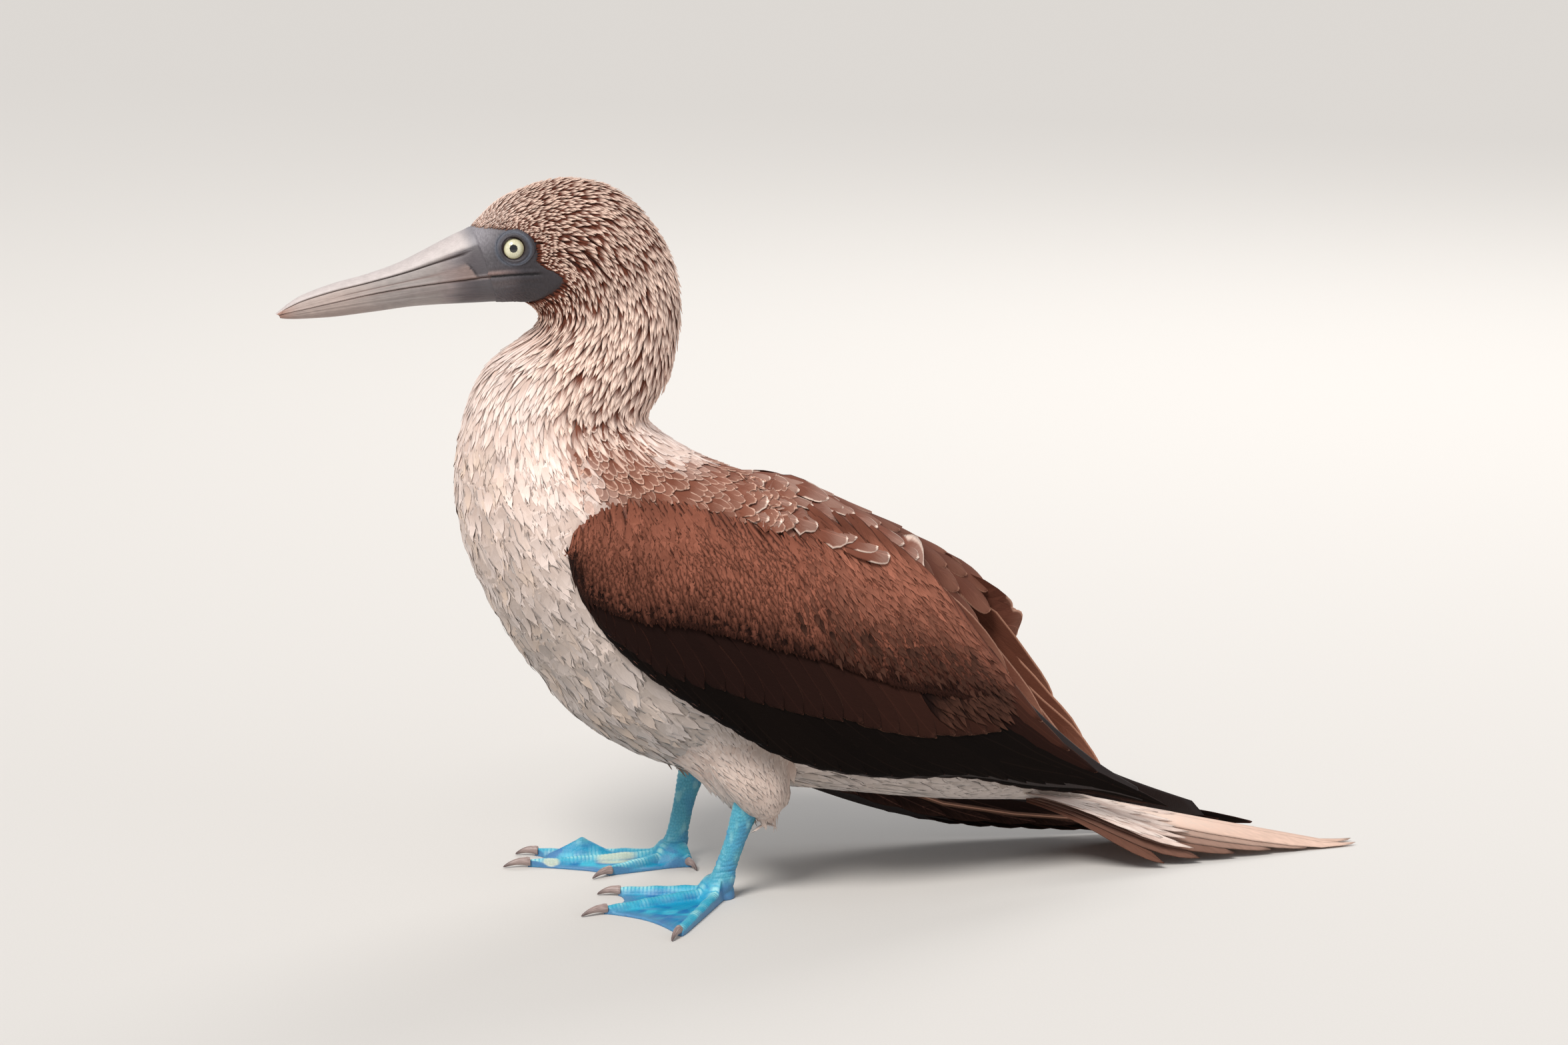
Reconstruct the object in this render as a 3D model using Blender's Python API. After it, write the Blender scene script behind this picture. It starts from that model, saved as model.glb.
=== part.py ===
"""A blue-footed booby at rest, as a still, life-size model.

The bird looks along -X, its tail points along +X and its left side is -Y.
The floor is z = 0. Every table and size below is in millimetres; MM turns
them into Blender's metres when a mesh is made. All shapes are first drawn
about the floor point midway between the feet, and centre_on_floor() then
moves the origin to the middle of the base of the whole bird.
"""
import math

import bmesh
import bpy
import numpy as np

MM = 0.001
GAP = 0.3            # clearance between two neighbouring pieces
LEFT = -1            # the side of a left-hand piece along Y
RIGHT = 1

# Stations down head, neck and trunk: back line x, z; front line x, z; half-width.
BODY = (
    (-120.8, 343.3, -109.0, 305.5, 15.0),
    (-103.0, 358.0, -94.5, 304.8, 20.0),
    (-74.0, 366.3, -88.0, 300.5, 24.5),
    (-46.5, 359.8, -86.0, 296.5, 27.0),
    (-26.0, 338.0, -86.8, 292.5, 28.0),
    (-15.8, 311.0, -90.8, 288.0, 29.0),
    (-16.5, 284.0, -101.0, 281.5, 30.5),
    (-22.5, 262.0, -112.5, 272.5, 34.0),
    (-32.0, 246.0, -121.5, 257.0, 39.0),
    (-25.0, 236.0, -127.0, 236.0, 44.0),
    (-5.0, 223.0, -129.0, 211.0, 51.0),
    (22.0, 211.5, -125.5, 184.0, 57.0),
    (53.0, 199.5, -112.5, 151.0, 61.0),
    (80.0, 183.5, -94.0, 120.5, 62.0),
    (102.0, 162.0, -67.0, 88.0, 60.0),
    (119.5, 137.0, -28.0, 65.5, 54.0),
    (135.5, 108.0, 18.0, 53.5, 46.0),
    (150.0, 81.0, 68.0, 45.5, 37.0),
    (165.0, 62.0, 117.5, 38.5, 26.0),
    (178.0, 51.0, 158.0, 35.0, 15.0),
)
HEAD_END = 4.2       # stations where head, neck and trunk are parted
NECK_END = 8.6
TRUNK_END = 19.0
HEAD_RINGS, NECK_RINGS, TRUNK_RINGS = 13, 8, 16
HEAD_SIDES, NECK_SIDES, TRUNK_SIDES = 20, 20, 28

# Stations along the bill: culmen x, z; mouth line x, z; underside x, z; half-width.
BILL = (
    (-120.8, 343.3, -113.7, 320.0, -109.0, 305.5, 14.2),
    (-138.9, 334.4, -133.5, 317.6, -130.0, 305.2, 12.0),
    (-155.6, 326.4, -152.0, 315.2, -149.5, 304.4, 9.8),
    (-172.0, 320.9, -170.2, 312.2, -169.4, 302.2, 8.0),
    (-189.0, 316.6, -188.5, 308.4, -188.2, 300.4, 6.2),
    (-203.9, 311.5, -203.4, 305.1, -203.2, 299.8, 4.3),
    (-212.3, 306.7, -211.8, 303.3, -211.4, 299.8, 2.8),
    (-218.0, 302.6, -216.4, 302.0, -215.6, 300.3, 1.2),
)
BILL_RINGS = 12
BILL_SIDES = 8

EYE_CENTRE = (-100.4, 12.9, 333.8)   # y is mirrored for the left eye
EYE_RADIUS = 7.5
EYE_SEGMENTS, EYE_RINGS = 14, 8

# Stations along a folded wing: lower edge x, z; upper edge x, z;
# how far out the lower and the upper edge lie, bulge between them, thickness.
WING_LEFT = (
    (-80.5, 184.0, -80.5, 189.0, 50.0, 48.0, 0.0, 4.0),
    (-76.0, 168.0, -75.0, 201.0, 52.0, 46.0, 6.0, 8.0),
    (-64.0, 146.0, -55.0, 210.5, 55.0, 44.0, 10.0, 9.0),
    (-42.0, 123.0, -22.0, 206.0, 59.0, 44.0, 12.0, 9.0),
    (-6.0, 97.5, 22.0, 190.0, 62.0, 44.0, 13.0, 9.0),
    (33.0, 74.0, 66.0, 176.0, 62.0, 40.0, 14.0, 8.0),
    (78.0, 62.5, 104.0, 161.0, 57.0, 36.0, 13.0, 7.0),
    (125.0, 59.0, 131.0, 130.0, 48.0, 31.0, 10.0, 5.0),
    (162.0, 50.0, 161.0, 94.0, 37.0, 28.0, 6.0, 3.4),
    (201.0, 43.5, 196.0, 61.0, 29.0, 26.0, 3.0, 2.4),
    (237.5, 32.0, 237.0, 33.5, 25.0, 25.0, 0.0, 1.2),
)
WING_RIGHT = (
    (-80.5, 184.0, -80.5, 189.0, 50.0, 48.0, 0.0, 4.0),
    (-74.0, 163.0, -75.0, 201.0, 52.0, 46.0, 6.0, 8.0),
    (-58.0, 138.0, -55.0, 210.5, 55.0, 44.0, 10.0, 9.0),
    (-36.0, 110.0, -22.0, 204.0, 60.0, 44.0, 12.0, 9.0),
    (-3.0, 80.0, 22.0, 185.0, 64.0, 44.0, 13.0, 9.0),
    (35.0, 43.0, 66.0, 164.0, 62.0, 44.0, 12.0, 8.0),
    (80.0, 22.0, 104.0, 137.0, 57.0, 44.0, 9.0, 6.0),
    (133.0, 8.0, 136.0, 100.0, 52.0, 44.0, 6.0, 4.0),
    (188.0, 4.0, 172.0, 68.0, 48.0, 43.0, 3.0, 3.0),
    (246.0, 3.0, 222.0, 36.0, 45.0, 42.0, 1.0, 2.2),
    (303.0, 2.6, 302.0, 4.0, 41.0, 41.0, 0.0, 1.2),
)
WING_LIFT = 2.6      # least height of a wing's outside over the trunk
WING_ROUNDING = 3.0  # how softly it passes from lying on the trunk to hanging free
WING_COLUMNS = (11, 3, 3)        # up to the secondaries, along their slanted start, beyond it
WING_ROWS = 7
PRIMARY_START = 7.4              # station where the coverts end and the primaries show
SECONDARY_START = (5.6, 6.4)     # the same for the secondaries, at the upper edge and below it
SECONDARY_SHARE = 0.38           # share of the wing's height that the secondaries cover
FEATHER_PARTING = 0.014          # stations between the coverts and the feathers behind them
PRIMARY_ENDS = (10.0, 9.6, 9.2)
SECONDARY_ENDS = (9.0, 8.6, 8.2)
FEATHER_COLUMNS = 8

# Covers of scapulars over the shoulders and of tertials over the rump, in the wings' columns.
SCAPULARS_LEFT = (
    (4.0, 204.0, 10.0, 214.5, 34.0, 12.0, 0.0, 2.0),
    (31.0, 191.0, 41.0, 206.0, 40.0, 9.0, 3.0, 3.0),
    (57.0, 182.0, 68.0, 192.5, 41.0, 12.0, 3.0, 3.0),
    (82.0, 174.0, 92.0, 178.5, 38.0, 20.0, 2.0, 2.6),
    (105.0, 165.5, 108.0, 167.0, 27.0, 25.0, 0.0, 1.4),
)
SCAPULARS_RIGHT = (
    (4.0, 203.0, 12.0, 214.5, 34.0, 16.0, 0.0, 2.0),
    (35.0, 190.0, 42.0, 206.0, 40.0, 16.0, 3.0, 3.0),
    (68.0, 171.0, 84.0, 187.0, 39.0, 17.0, 4.0, 3.4),
    (94.0, 154.0, 110.0, 173.0, 35.0, 18.0, 4.0, 3.0),
    (120.0, 137.0, 135.0, 156.5, 29.0, 18.0, 3.0, 2.6),
    (146.0, 123.0, 156.0, 134.5, 23.0, 18.0, 1.0, 2.0),
    (168.0, 117.5, 169.0, 119.0, 18.0, 18.0, 0.0, 1.2),
)
TERTIALS_LEFT = (
    (100.0, 146.0, 108.0, 158.0, 27.0, 17.0, 1.0, 2.4),
    (124.0, 122.0, 133.0, 134.0, 21.0, 13.0, 1.0, 2.4),
    (147.0, 98.0, 158.0, 103.0, 17.0, 10.0, 1.0, 2.2),
    (168.0, 77.0, 176.0, 80.0, 13.0, 9.0, 0.0, 1.8),
    (191.0, 55.0, 192.0, 56.5, 11.0, 11.0, 0.0, 1.2),
)
TERTIALS_RIGHT = (
    (108.0, 136.0, 120.0, 148.0, 26.0, 15.0, 1.0, 2.4),
    (133.0, 113.0, 148.0, 136.0, 20.0, 11.0, 2.0, 2.4),
    (155.0, 94.0, 168.0, 107.5, 16.0, 9.0, 1.0, 2.2),
    (173.0, 78.0, 184.0, 83.0, 13.0, 9.0, 0.0, 1.8),
    (190.0, 65.0, 200.5, 63.5, 11.0, 9.0, 0.0, 1.6),
    (212.0, 44.0, 213.0, 45.5, 10.0, 10.0, 0.0, 1.2),
)
COVER_COLUMNS = 8

# Tail: a roof of six graduated feathers a side, the longest pair laid on the floor.
TAIL_TOP = (165.0, 40.5)         # x, z of the tail's ridge where it leaves the trunk
TAIL_SLOPE = -0.2327
TAIL_DROOP = 17.5                # how far the roof falls at TAIL_REACH from the ridge
TAIL_REACH = 30.0
TAIL_DROOP_RAMP = 80.0           # length over which the roof's fall develops
TAIL_TIPS = ((346.0, 4.0), (318.0, 9.0), (297.0, 14.0),
             (276.0, 19.5), (256.0, 25.0), (236.0, 31.0))
TAIL_HALF_WIDTHS = (9.0, 9.0, 9.0, 8.6, 8.2, 7.6)
TAIL_LAYER = 1.0                 # distance from one feather down to the next
TAIL_THICKNESS = 0.7
TAIL_ROOT_CLEARANCE = 1.0
TAIL_COLUMNS, TAIL_ROWS = 7, 3

# Thigh tufts: height; x centre, half-length; y centre, half-width (left side).
THIGH = (
    (42.5, 20.5, 3.5, 41.0, 3.0),
    (45.5, 19.6, 8.5, 41.0, 7.0),
    (52.5, 17.9, 13.6, 41.0, 10.5),
    (61.0, 14.8, 17.6, 40.0, 12.5),
    (70.0, 12.0, 20.5, 38.0, 12.0),
    (82.0, 10.0, 22.0, 34.0, 11.0),
)
RIGHT_THIGH_SHIFT = (-19.0, 6.5)  # how far the right thigh lies forward and up
LEG_SIDES = 12

# Tarsus: height; x centre, half-depth; y centre, half-width.
TARSUS_LEFT = (
    (11.6, -0.4, 6.6, 37.0, 5.0),
    (16.0, 1.0, 5.6, 37.0, 4.2),
    (30.0, 6.0, 5.4, 37.4, 3.9),
    (40.0, 9.4, 6.4, 38.0, 4.3),
    (50.0, 12.6, 7.4, 38.6, 5.0),
    (58.0, 15.6, 7.8, 39.0, 5.4),
)
TARSUS_RIGHT = (
    (11.6, -11.8, 6.6, 37.0, 5.0),
    (16.0, -10.8, 5.6, 37.0, 4.2),
    (30.0, -7.6, 5.4, 37.4, 3.9),
    (40.0, -4.9, 6.4, 38.0, 4.3),
    (50.0, -2.0, 7.6, 38.6, 5.0),
    (58.0, 0.5, 8.0, 39.0, 5.4),
)

# Feet: ankle on the floor x, y; toes as (angle outwards from straight ahead in
# degrees, length without claw): hallux, second, third and fourth toe.
FOOT_LEFT = ((-0.5, 35.0), ((-85.0, 23.0), (-14.0, 53.5), (16.0, 66.5), (62.0, 71.0)))
FOOT_RIGHT = ((-12.0, 36.0), ((-108.0, 15.0), (-29.0, 45.0), (2.0, 78.5), (18.0, 75.0)))
CLAW_LENGTHS = (8.0, 10.0, 12.0, 10.0)
WEB_THICKNESS = 1.3
TOE_HALF_WIDTH = 3.4
TOE_HEIGHTS = (6.6, 3.0)         # ridge of a toe above the web, at its root and its end
TOE_TAPER_LENGTH = 62.0
ANKLE_RADIUS = 7.2
ANKLE_HEIGHT = 11.3
WEB_HOLLOW = 0.11                # how far a web's edge is drawn in between two toes
WEB_FOLD = (12.0, 50.0, 15.0, 4.0)  # fold in a web: height, distance from the ankle,
                                    # half-length, half-width
FOOT_RINGS = 8
RAYS_BEHIND = 8                  # rays of a foot between its outer toe and its hallux
CLAW_SIDES, CLAW_RINGS = 6, 4

# Colour, roughness of each finish.
FINISHES = {
    "plumage_head": ((0.60, 0.50, 0.42), 0.9),
    "plumage_body": ((0.83, 0.79, 0.74), 0.9),
    "plumage_wing": ((0.105, 0.062, 0.043), 0.75),
    "flight_feathers": ((0.028, 0.022, 0.020), 0.55),
    "plumage_tail": ((0.62, 0.55, 0.47), 0.8),
    "bill_horn": ((0.30, 0.31, 0.33), 0.42),
    "leg_skin": ((0.10, 0.42, 0.56), 0.5),
    "claw_horn": ((0.36, 0.30, 0.28), 0.4),
    "eye": ((0.72, 0.70, 0.38), 0.08),
}


def clear_scene():
    for item in list(bpy.data.objects):
        bpy.data.objects.remove(item, do_unlink=True)


def finish(slot):
    """The Principled material of one finish, made once."""
    material = bpy.data.materials.get(slot)
    if material is None:
        colour, roughness = FINISHES[slot]
        material = bpy.data.materials.new(slot)
        material.use_nodes = True
        shader = material.node_tree.nodes["Principled BSDF"]
        shader.inputs["Base Color"].default_value = (*colour, 1.0)
        shader.inputs["Roughness"].default_value = roughness
        shader.inputs["Metallic"].default_value = 0.0
    return material


def along(table, station):
    """Catmull-Rom value of a table of equal rows; station 0 is the first row."""
    rows = np.asarray(table, float)
    last = len(rows) - 1
    i = min(max(int(math.floor(station)), 0), last - 1)
    t = station - i
    p1, p2 = rows[i], rows[i + 1]
    p0 = rows[i - 1] if i > 0 else 2 * p1 - p2
    p3 = rows[i + 2] if i + 2 <= last else 2 * p2 - p1
    return 0.5 * (2 * p1 + (p2 - p0) * t + (2 * p0 - 5 * p1 + 4 * p2 - p3) * t * t
                  + (3 * p1 - p0 - 3 * p2 + p3) * t ** 3)


def smooth_step(value):
    value = min(max(value, 0.0), 1.0)
    return value * value * (3.0 - 2.0 * value)


def soft_max(a, b, softness):
    return 0.5 * (a + b + math.sqrt((a - b) ** 2 + softness ** 2))


def make_object(name, points, faces, slot):
    """One closed body with its faces turned outwards."""
    mesh = bpy.data.meshes.new(name)
    mesh.from_pydata([tuple(float(c) * MM for c in point) for point in points], [], faces)
    surface = bmesh.new()
    surface.from_mesh(mesh)
    bmesh.ops.recalc_face_normals(surface, faces=surface.faces)
    surface.to_mesh(mesh)
    surface.free()
    mesh.shade_smooth()
    mesh.materials.append(finish(slot))
    item = bpy.data.objects.new(name, mesh)
    bpy.context.scene.collection.objects.link(item)
    return item


def loft(name, rings, slot):
    """A body through rings of equal point count, closed by flat ends."""
    count = len(rings[0])
    points = [point for ring in rings for point in ring]
    faces = []
    for row in range(len(rings) - 1):
        for i in range(count):
            j = (i + 1) % count
            faces.append((row * count + i, row * count + j,
                          (row + 1) * count + j, (row + 1) * count + i))
    top = (len(rings) - 1) * count
    faces.append(tuple(reversed(range(count))))
    faces.append(tuple(range(top, top + count)))
    return make_object(name, points, faces, slot)


def plate(name, outside, inside, slot):
    """A thin body between two grids of points that share their rows and columns."""
    rows, columns = len(outside), len(outside[0])
    points = [point for grid in (outside, inside) for row in grid for point in row]
    offset = rows * columns
    faces = []
    for r in range(rows - 1):
        for c in range(columns - 1):
            a = r * columns + c
            quad = (a, a + 1, a + columns + 1, a + columns)
            faces.append(quad)
            faces.append(tuple(offset + i for i in reversed(quad)))
    rim = list(range(columns))
    rim += [r * columns + columns - 1 for r in range(1, rows)]
    rim += [(rows - 1) * columns + c for c in range(columns - 2, -1, -1)]
    rim += [r * columns for r in range(rows - 2, 0, -1)]
    for a, b in zip(rim, rim[1:] + rim[:1]):
        faces.append((a, b, offset + b, offset + a))
    return make_object(name, points, faces, slot)


def cut(item, cutter):
    """Take the cutter's volume out of a body, and keep the cutter out of the model."""
    cutter.hide_render = True
    cutter.display_type = "WIRE"
    modifier = item.modifiers.new("cut_by_" + cutter.name, "BOOLEAN")
    modifier.operation = "DIFFERENCE"
    modifier.solver = "EXACT"
    modifier.object = cutter


# ---------------------------------------------------------------- head, neck, trunk

def body_ring(station, sides, grow=0.0, shift=0.0):
    """One flat ring of the body, grown outwards, or moved along its own normal."""
    back_x, back_z, front_x, front_z, half_width = along(BODY, station)
    centre = np.array(((back_x + front_x) / 2, 0.0, (back_z + front_z) / 2))
    reach = np.array(((back_x - front_x) / 2, 0.0, (back_z - front_z) / 2))
    length = np.linalg.norm(reach)
    direction = reach / length
    normal = np.array((direction[2], 0.0, -direction[0]))
    ring = []
    for i in range(sides):
        angle = 2 * math.pi * i / sides
        ring.append(centre + direction * (length + grow) * math.cos(angle)
                    + np.array((0.0, 1.0, 0.0)) * (half_width + grow) * math.sin(angle)
                    + normal * shift)
    return ring


def body_length(name, start, end, rings, sides, slot, grow=0.0):
    """A length of the body between two stations, half a gap short at each parting."""
    lengths = []
    for i in range(rings):
        shift = 0.0
        if i == 0 and start > 0:
            shift = GAP / 2
        if i == rings - 1 and end < TRUNK_END:
            shift = -GAP / 2
        station = start + (end - start) * i / (rings - 1)
        lengths.append(body_ring(station, sides, grow, shift))
    return loft(name, lengths, slot)


TRUNK_LINES = [along(BODY, 8.0 + 11.0 * i / 220) for i in range(221)]


def trunk_half_width(x, z):
    """Half the trunk's width above a point of its middle plane, or 0 outside it."""
    previous = None
    for back_x, back_z, front_x, front_z, half_width in TRUNK_LINES:
        chord_x, chord_z = back_x - front_x, back_z - front_z
        side = chord_x * (z - front_z) - chord_z * (x - front_x)
        if previous is not None and previous * side <= 0:
            reach = (x - front_x) * chord_x + (z - front_z) * chord_z
            height = 2 * reach / (chord_x ** 2 + chord_z ** 2) - 1
            return half_width * math.sqrt(1 - height ** 2) if abs(height) < 1 else 0.0
        previous = side
    return 0.0


def make_eye(name, side):
    x, y, z = EYE_CENTRE
    rings = []
    for row in range(1, EYE_RINGS):
        tilt = math.pi * row / EYE_RINGS
        radius = EYE_RADIUS * math.sin(tilt)
        level = z + EYE_RADIUS * math.cos(tilt)
        rings.append([(x + radius * math.cos(turn), side * y + radius * math.sin(turn), level)
                      for turn in (2 * math.pi * i / EYE_SEGMENTS for i in range(EYE_SEGMENTS))])
    return loft(name, rings, "eye")


def make_eye_socket(side):
    """The hollow round one eyeball, a gap wider than the ball."""
    socket = make_eye("socket_cutter", side)
    centre = np.array(EYE_CENTRE) * (1, side, 1) * MM
    growth = (EYE_RADIUS + GAP) / EYE_RADIUS
    for vertex in socket.data.vertices:
        vertex.co = centre + (np.array(vertex.co) - centre) * growth
    return socket


def make_bill_half(name, upper):
    """Upper or lower bill: half-round sections above or below the mouth line."""
    rings = []
    for row in range(BILL_RINGS):
        station = (len(BILL) - 1) * row / (BILL_RINGS - 1)
        top_x, top_z, mouth_x, mouth_z, low_x, low_z, half_width = along(BILL, station)
        mouth = np.array((mouth_x, 0.0, mouth_z))
        end = np.array((top_x, 0.0, top_z)) if upper else np.array((low_x, 0.0, low_z))
        reach = end - mouth
        depth = np.linalg.norm(reach)
        reach = reach / depth
        root = np.array((-GAP if row == 0 else 0.0, 0.0, 0.0))
        ring = []
        for i in range(BILL_SIDES + 1):
            angle = math.pi * i / BILL_SIDES
            ring.append(mouth + root + reach * (GAP / 2 + (depth - GAP / 2) * math.sin(angle))
                        + np.array((0.0, half_width * math.cos(angle), 0.0)))
        rings.append(ring)
    return loft(name, rings, "bill_horn")


# ---------------------------------------------------------------- wings

def wing_point(table, side, station, share, depth=0.0):
    """A point of the folded wing; share 0 is its lower edge and 1 its upper one."""
    low_x, low_z, high_x, high_z, low_y, high_y, bulge, thickness = along(table, station)
    share = min(max(share, 0.0), 1.0)
    x = low_x + (high_x - low_x) * share
    z = low_z + (high_z - low_z) * share
    crown = 4 * share * (1 - share)
    hanging = low_y + (high_y - low_y) * share + bulge * crown
    resting = trunk_half_width(x, z) + WING_LIFT + (thickness - WING_LIFT) * crown
    y = soft_max(hanging, resting, WING_ROUNDING)
    return np.array((x, side * (y - depth * thickness * (0.55 + 0.45 * crown)), z))


def wing_height(table, station):
    low_x, low_z, high_x, high_z = along(table, station)[:4]
    return max(math.hypot(high_x - low_x, high_z - low_z), GAP)


def secondary_line(share):
    """Station where the coverts give way to the tertials, at one height of the wing."""
    down = (1.0 - share) / SECONDARY_SHARE
    return SECONDARY_START[0] + (SECONDARY_START[1] - SECONDARY_START[0]) * down


def wing_top(station):
    """Share of the wing's height that the covert panel fills at a station."""
    down = (station - SECONDARY_START[0]) / (SECONDARY_START[1] - SECONDARY_START[0])
    return 1.0 - SECONDARY_SHARE * min(max(down, 0.0), 1.0)


def make_wing(name, table, side, trunk_cutter):
    """The wing's covert panel, its inside following the trunk."""
    outside, inside = [], []
    stations = (list(np.linspace(0.0, SECONDARY_START[0], WING_COLUMNS[0], endpoint=False))
                + list(np.linspace(*SECONDARY_START, WING_COLUMNS[1], endpoint=False))
                + list(np.linspace(SECONDARY_START[1], PRIMARY_START, WING_COLUMNS[2])))
    for station in stations:
        top = wing_top(station) - GAP / 2 / wing_height(table, station)
        outside.append([wing_point(table, side, station, top * row / WING_ROWS)
                        for row in range(WING_ROWS + 1)])
        inside.append([wing_point(table, side, station, top * row / WING_ROWS, 1.0)
                       for row in range(WING_ROWS + 1)])
    wing = plate(name, outside, inside, "plumage_wing")
    cut(wing, trunk_cutter)
    return wing


def make_wing_feather(name, table, side, low_share, high_share, start, end, slot):
    """One long feather of the folded wing, narrowing to a point at its end station.

    start is a function that gives the first station at each height of the wing.
    """
    outside, inside = [], []
    for column in range(FEATHER_COLUMNS + 1):
        t = column / FEATHER_COLUMNS
        narrowing = math.sqrt(max(1.0 - t ** 2.6, 0.0)) if column < FEATHER_COLUMNS else 0.1
        rows_out, rows_in = [], []
        for row in range(3):
            base_share = low_share + (high_share - low_share) * row / 2
            first = start(base_share)
            station = first + (end - first) * t
            inset = GAP / 2 / wing_height(table, station)
            low = low_share + inset
            high = max(low + (high_share - inset - low) * narrowing, low + inset)
            share = low + (high - low) * row / 2
            rows_out.append(wing_point(table, side, station, share))
            rows_in.append(wing_point(table, side, station, share, 1.0))
        outside.append(rows_out)
        inside.append(rows_in)
    return plate(name, outside, inside, slot)


def make_wing_feathers(prefix, table, side, trunk_cutter):
    """Three groups each of primaries and secondaries, parted by thin gaps."""
    split = 1.0 - SECONDARY_SHARE

    def primary_first(share):
        return PRIMARY_START + FEATHER_PARTING

    def secondary_first(share):
        return secondary_line(share) + FEATHER_PARTING

    for i, end in enumerate(PRIMARY_ENDS):
        feather = make_wing_feather(f"primaries_{prefix}_{i + 1}", table, side, split * i / 3,
                                    split * (i + 1) / 3, primary_first, end, "flight_feathers")
        cut(feather, trunk_cutter)
    for i, end in enumerate(SECONDARY_ENDS):
        low = split + SECONDARY_SHARE * i / 3
        feather = make_wing_feather(f"secondaries_{prefix}_{i + 1}", table, side, low,
                                    low + SECONDARY_SHARE / 3, secondary_first, end, "plumage_wing")
        cut(feather, trunk_cutter)


def make_cover(name, table, side, trunk_cutter):
    """A thin group of scapulars or tertials that lies over the trunk to a point."""
    outside, inside = [], []
    for column in range(COVER_COLUMNS + 1):
        station = (len(table) - 1) * column / COVER_COLUMNS
        outside.append([wing_point(table, side, station, row / 2) for row in range(3)])
        inside.append([wing_point(table, side, station, row / 2, 1.0) for row in range(3)])
    cut(plate(name, outside, inside, "plumage_wing"), trunk_cutter)


# ---------------------------------------------------------------- tail

def tail_height(x, y):
    """Height of the tail's roof above a point of the floor."""
    ridge = TAIL_TOP[1] + TAIL_SLOPE * (x - TAIL_TOP[0])
    fall = smooth_step((x - TAIL_TOP[0]) / TAIL_DROOP_RAMP)
    return ridge - TAIL_DROOP * fall * (abs(y) / TAIL_REACH) ** 1.5


def tail_root_x(drop):
    """Where the tail's ridge, lowered by drop, meets the trunk's flat rear end."""
    back_x, back_z, front_x, front_z = BODY[-1][:4]
    lean = (back_x - front_x) / (back_z - front_z)
    ridge_at_zero = TAIL_TOP[1] - drop - TAIL_SLOPE * TAIL_TOP[0]
    return (front_x + lean * (ridge_at_zero - front_z)) / (1 - lean * TAIL_SLOPE)


def make_tail_feather(name, side, index):
    """One tail feather, a thin plate on its own layer under the ridge pair."""
    tip_x, tip_y = TAIL_TIPS[index]
    drop = TAIL_LAYER * index
    root_x = tail_root_x(drop) + TAIL_ROOT_CLEARANCE
    root_y = 1.6 + 1.7 * index
    axis = np.array((tip_x - root_x, tip_y - root_y))
    axis_length = np.linalg.norm(axis)
    across = np.array((-axis[1], axis[0])) / axis_length
    top, bottom = [], []
    for column in range(TAIL_COLUMNS + 1):
        t = column / TAIL_COLUMNS
        half = TAIL_HALF_WIDTHS[index] * min(1.0, 0.28 + 1.3 * t)
        half *= math.sqrt(max(1 - t ** 3.2, 0.006))
        row_top, row_bottom = [], []
        for row in range(TAIL_ROWS):
            spread = 2 * row / (TAIL_ROWS - 1) - 1
            x, y = np.array((root_x, root_y)) + axis * t + across * half * spread
            y = max(y, GAP / 2)
            level = tail_height(x, y) - drop
            row_top.append((x, side * y, max(level, TAIL_THICKNESS)))
            row_bottom.append((x, side * y, max(level - TAIL_THICKNESS, 0.0)))
        top.append(row_top)
        bottom.append(row_bottom)
    return plate(name, top, bottom, "plumage_tail")


# ---------------------------------------------------------------- legs and feet

def leg_rings(table, side, shift=(0.0, 0.0), grow=0.0):
    """Level oval rings of a thigh or a tarsus, moved along X and up, and grown outwards."""
    rings = []
    for height, x, half_length, y, half_width in table:
        level = height + shift[1] - (grow if not rings else 0.0)
        rings.append([(x + shift[0] + (half_length + grow) * math.cos(turn),
                       side * (y + (half_width + grow) * math.sin(turn)), level)
                      for turn in (2 * math.pi * i / LEG_SIDES for i in range(LEG_SIDES))])
    return rings


def toe_tip(toe):
    angle, length = toe
    return np.array((-math.cos(math.radians(angle)), math.sin(math.radians(angle)))) * length


def web_reach(toes, angle):
    """How far the foot reaches from the ankle in one direction, in degrees outwards."""
    for (low, short), (high, long) in zip(toes, toes[1:]):
        if low <= angle <= high:
            a, b = math.radians(angle - low), math.radians(high - angle)
            straight = short * long * math.sin(a + b) / (short * math.sin(a) + long * math.sin(b))
            share = (angle - low) / (high - low)
            return straight * (1 - WEB_HOLLOW * math.sin(math.pi * share) ** 0.7)
    edge, length = toes[0] if angle < toes[0][0] else toes[-1]
    turn = math.radians(min(abs(angle - edge), 90.0))
    return max(ANKLE_RADIUS, min(length, TOE_HALF_WIDTH / math.sin(turn)))


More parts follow.
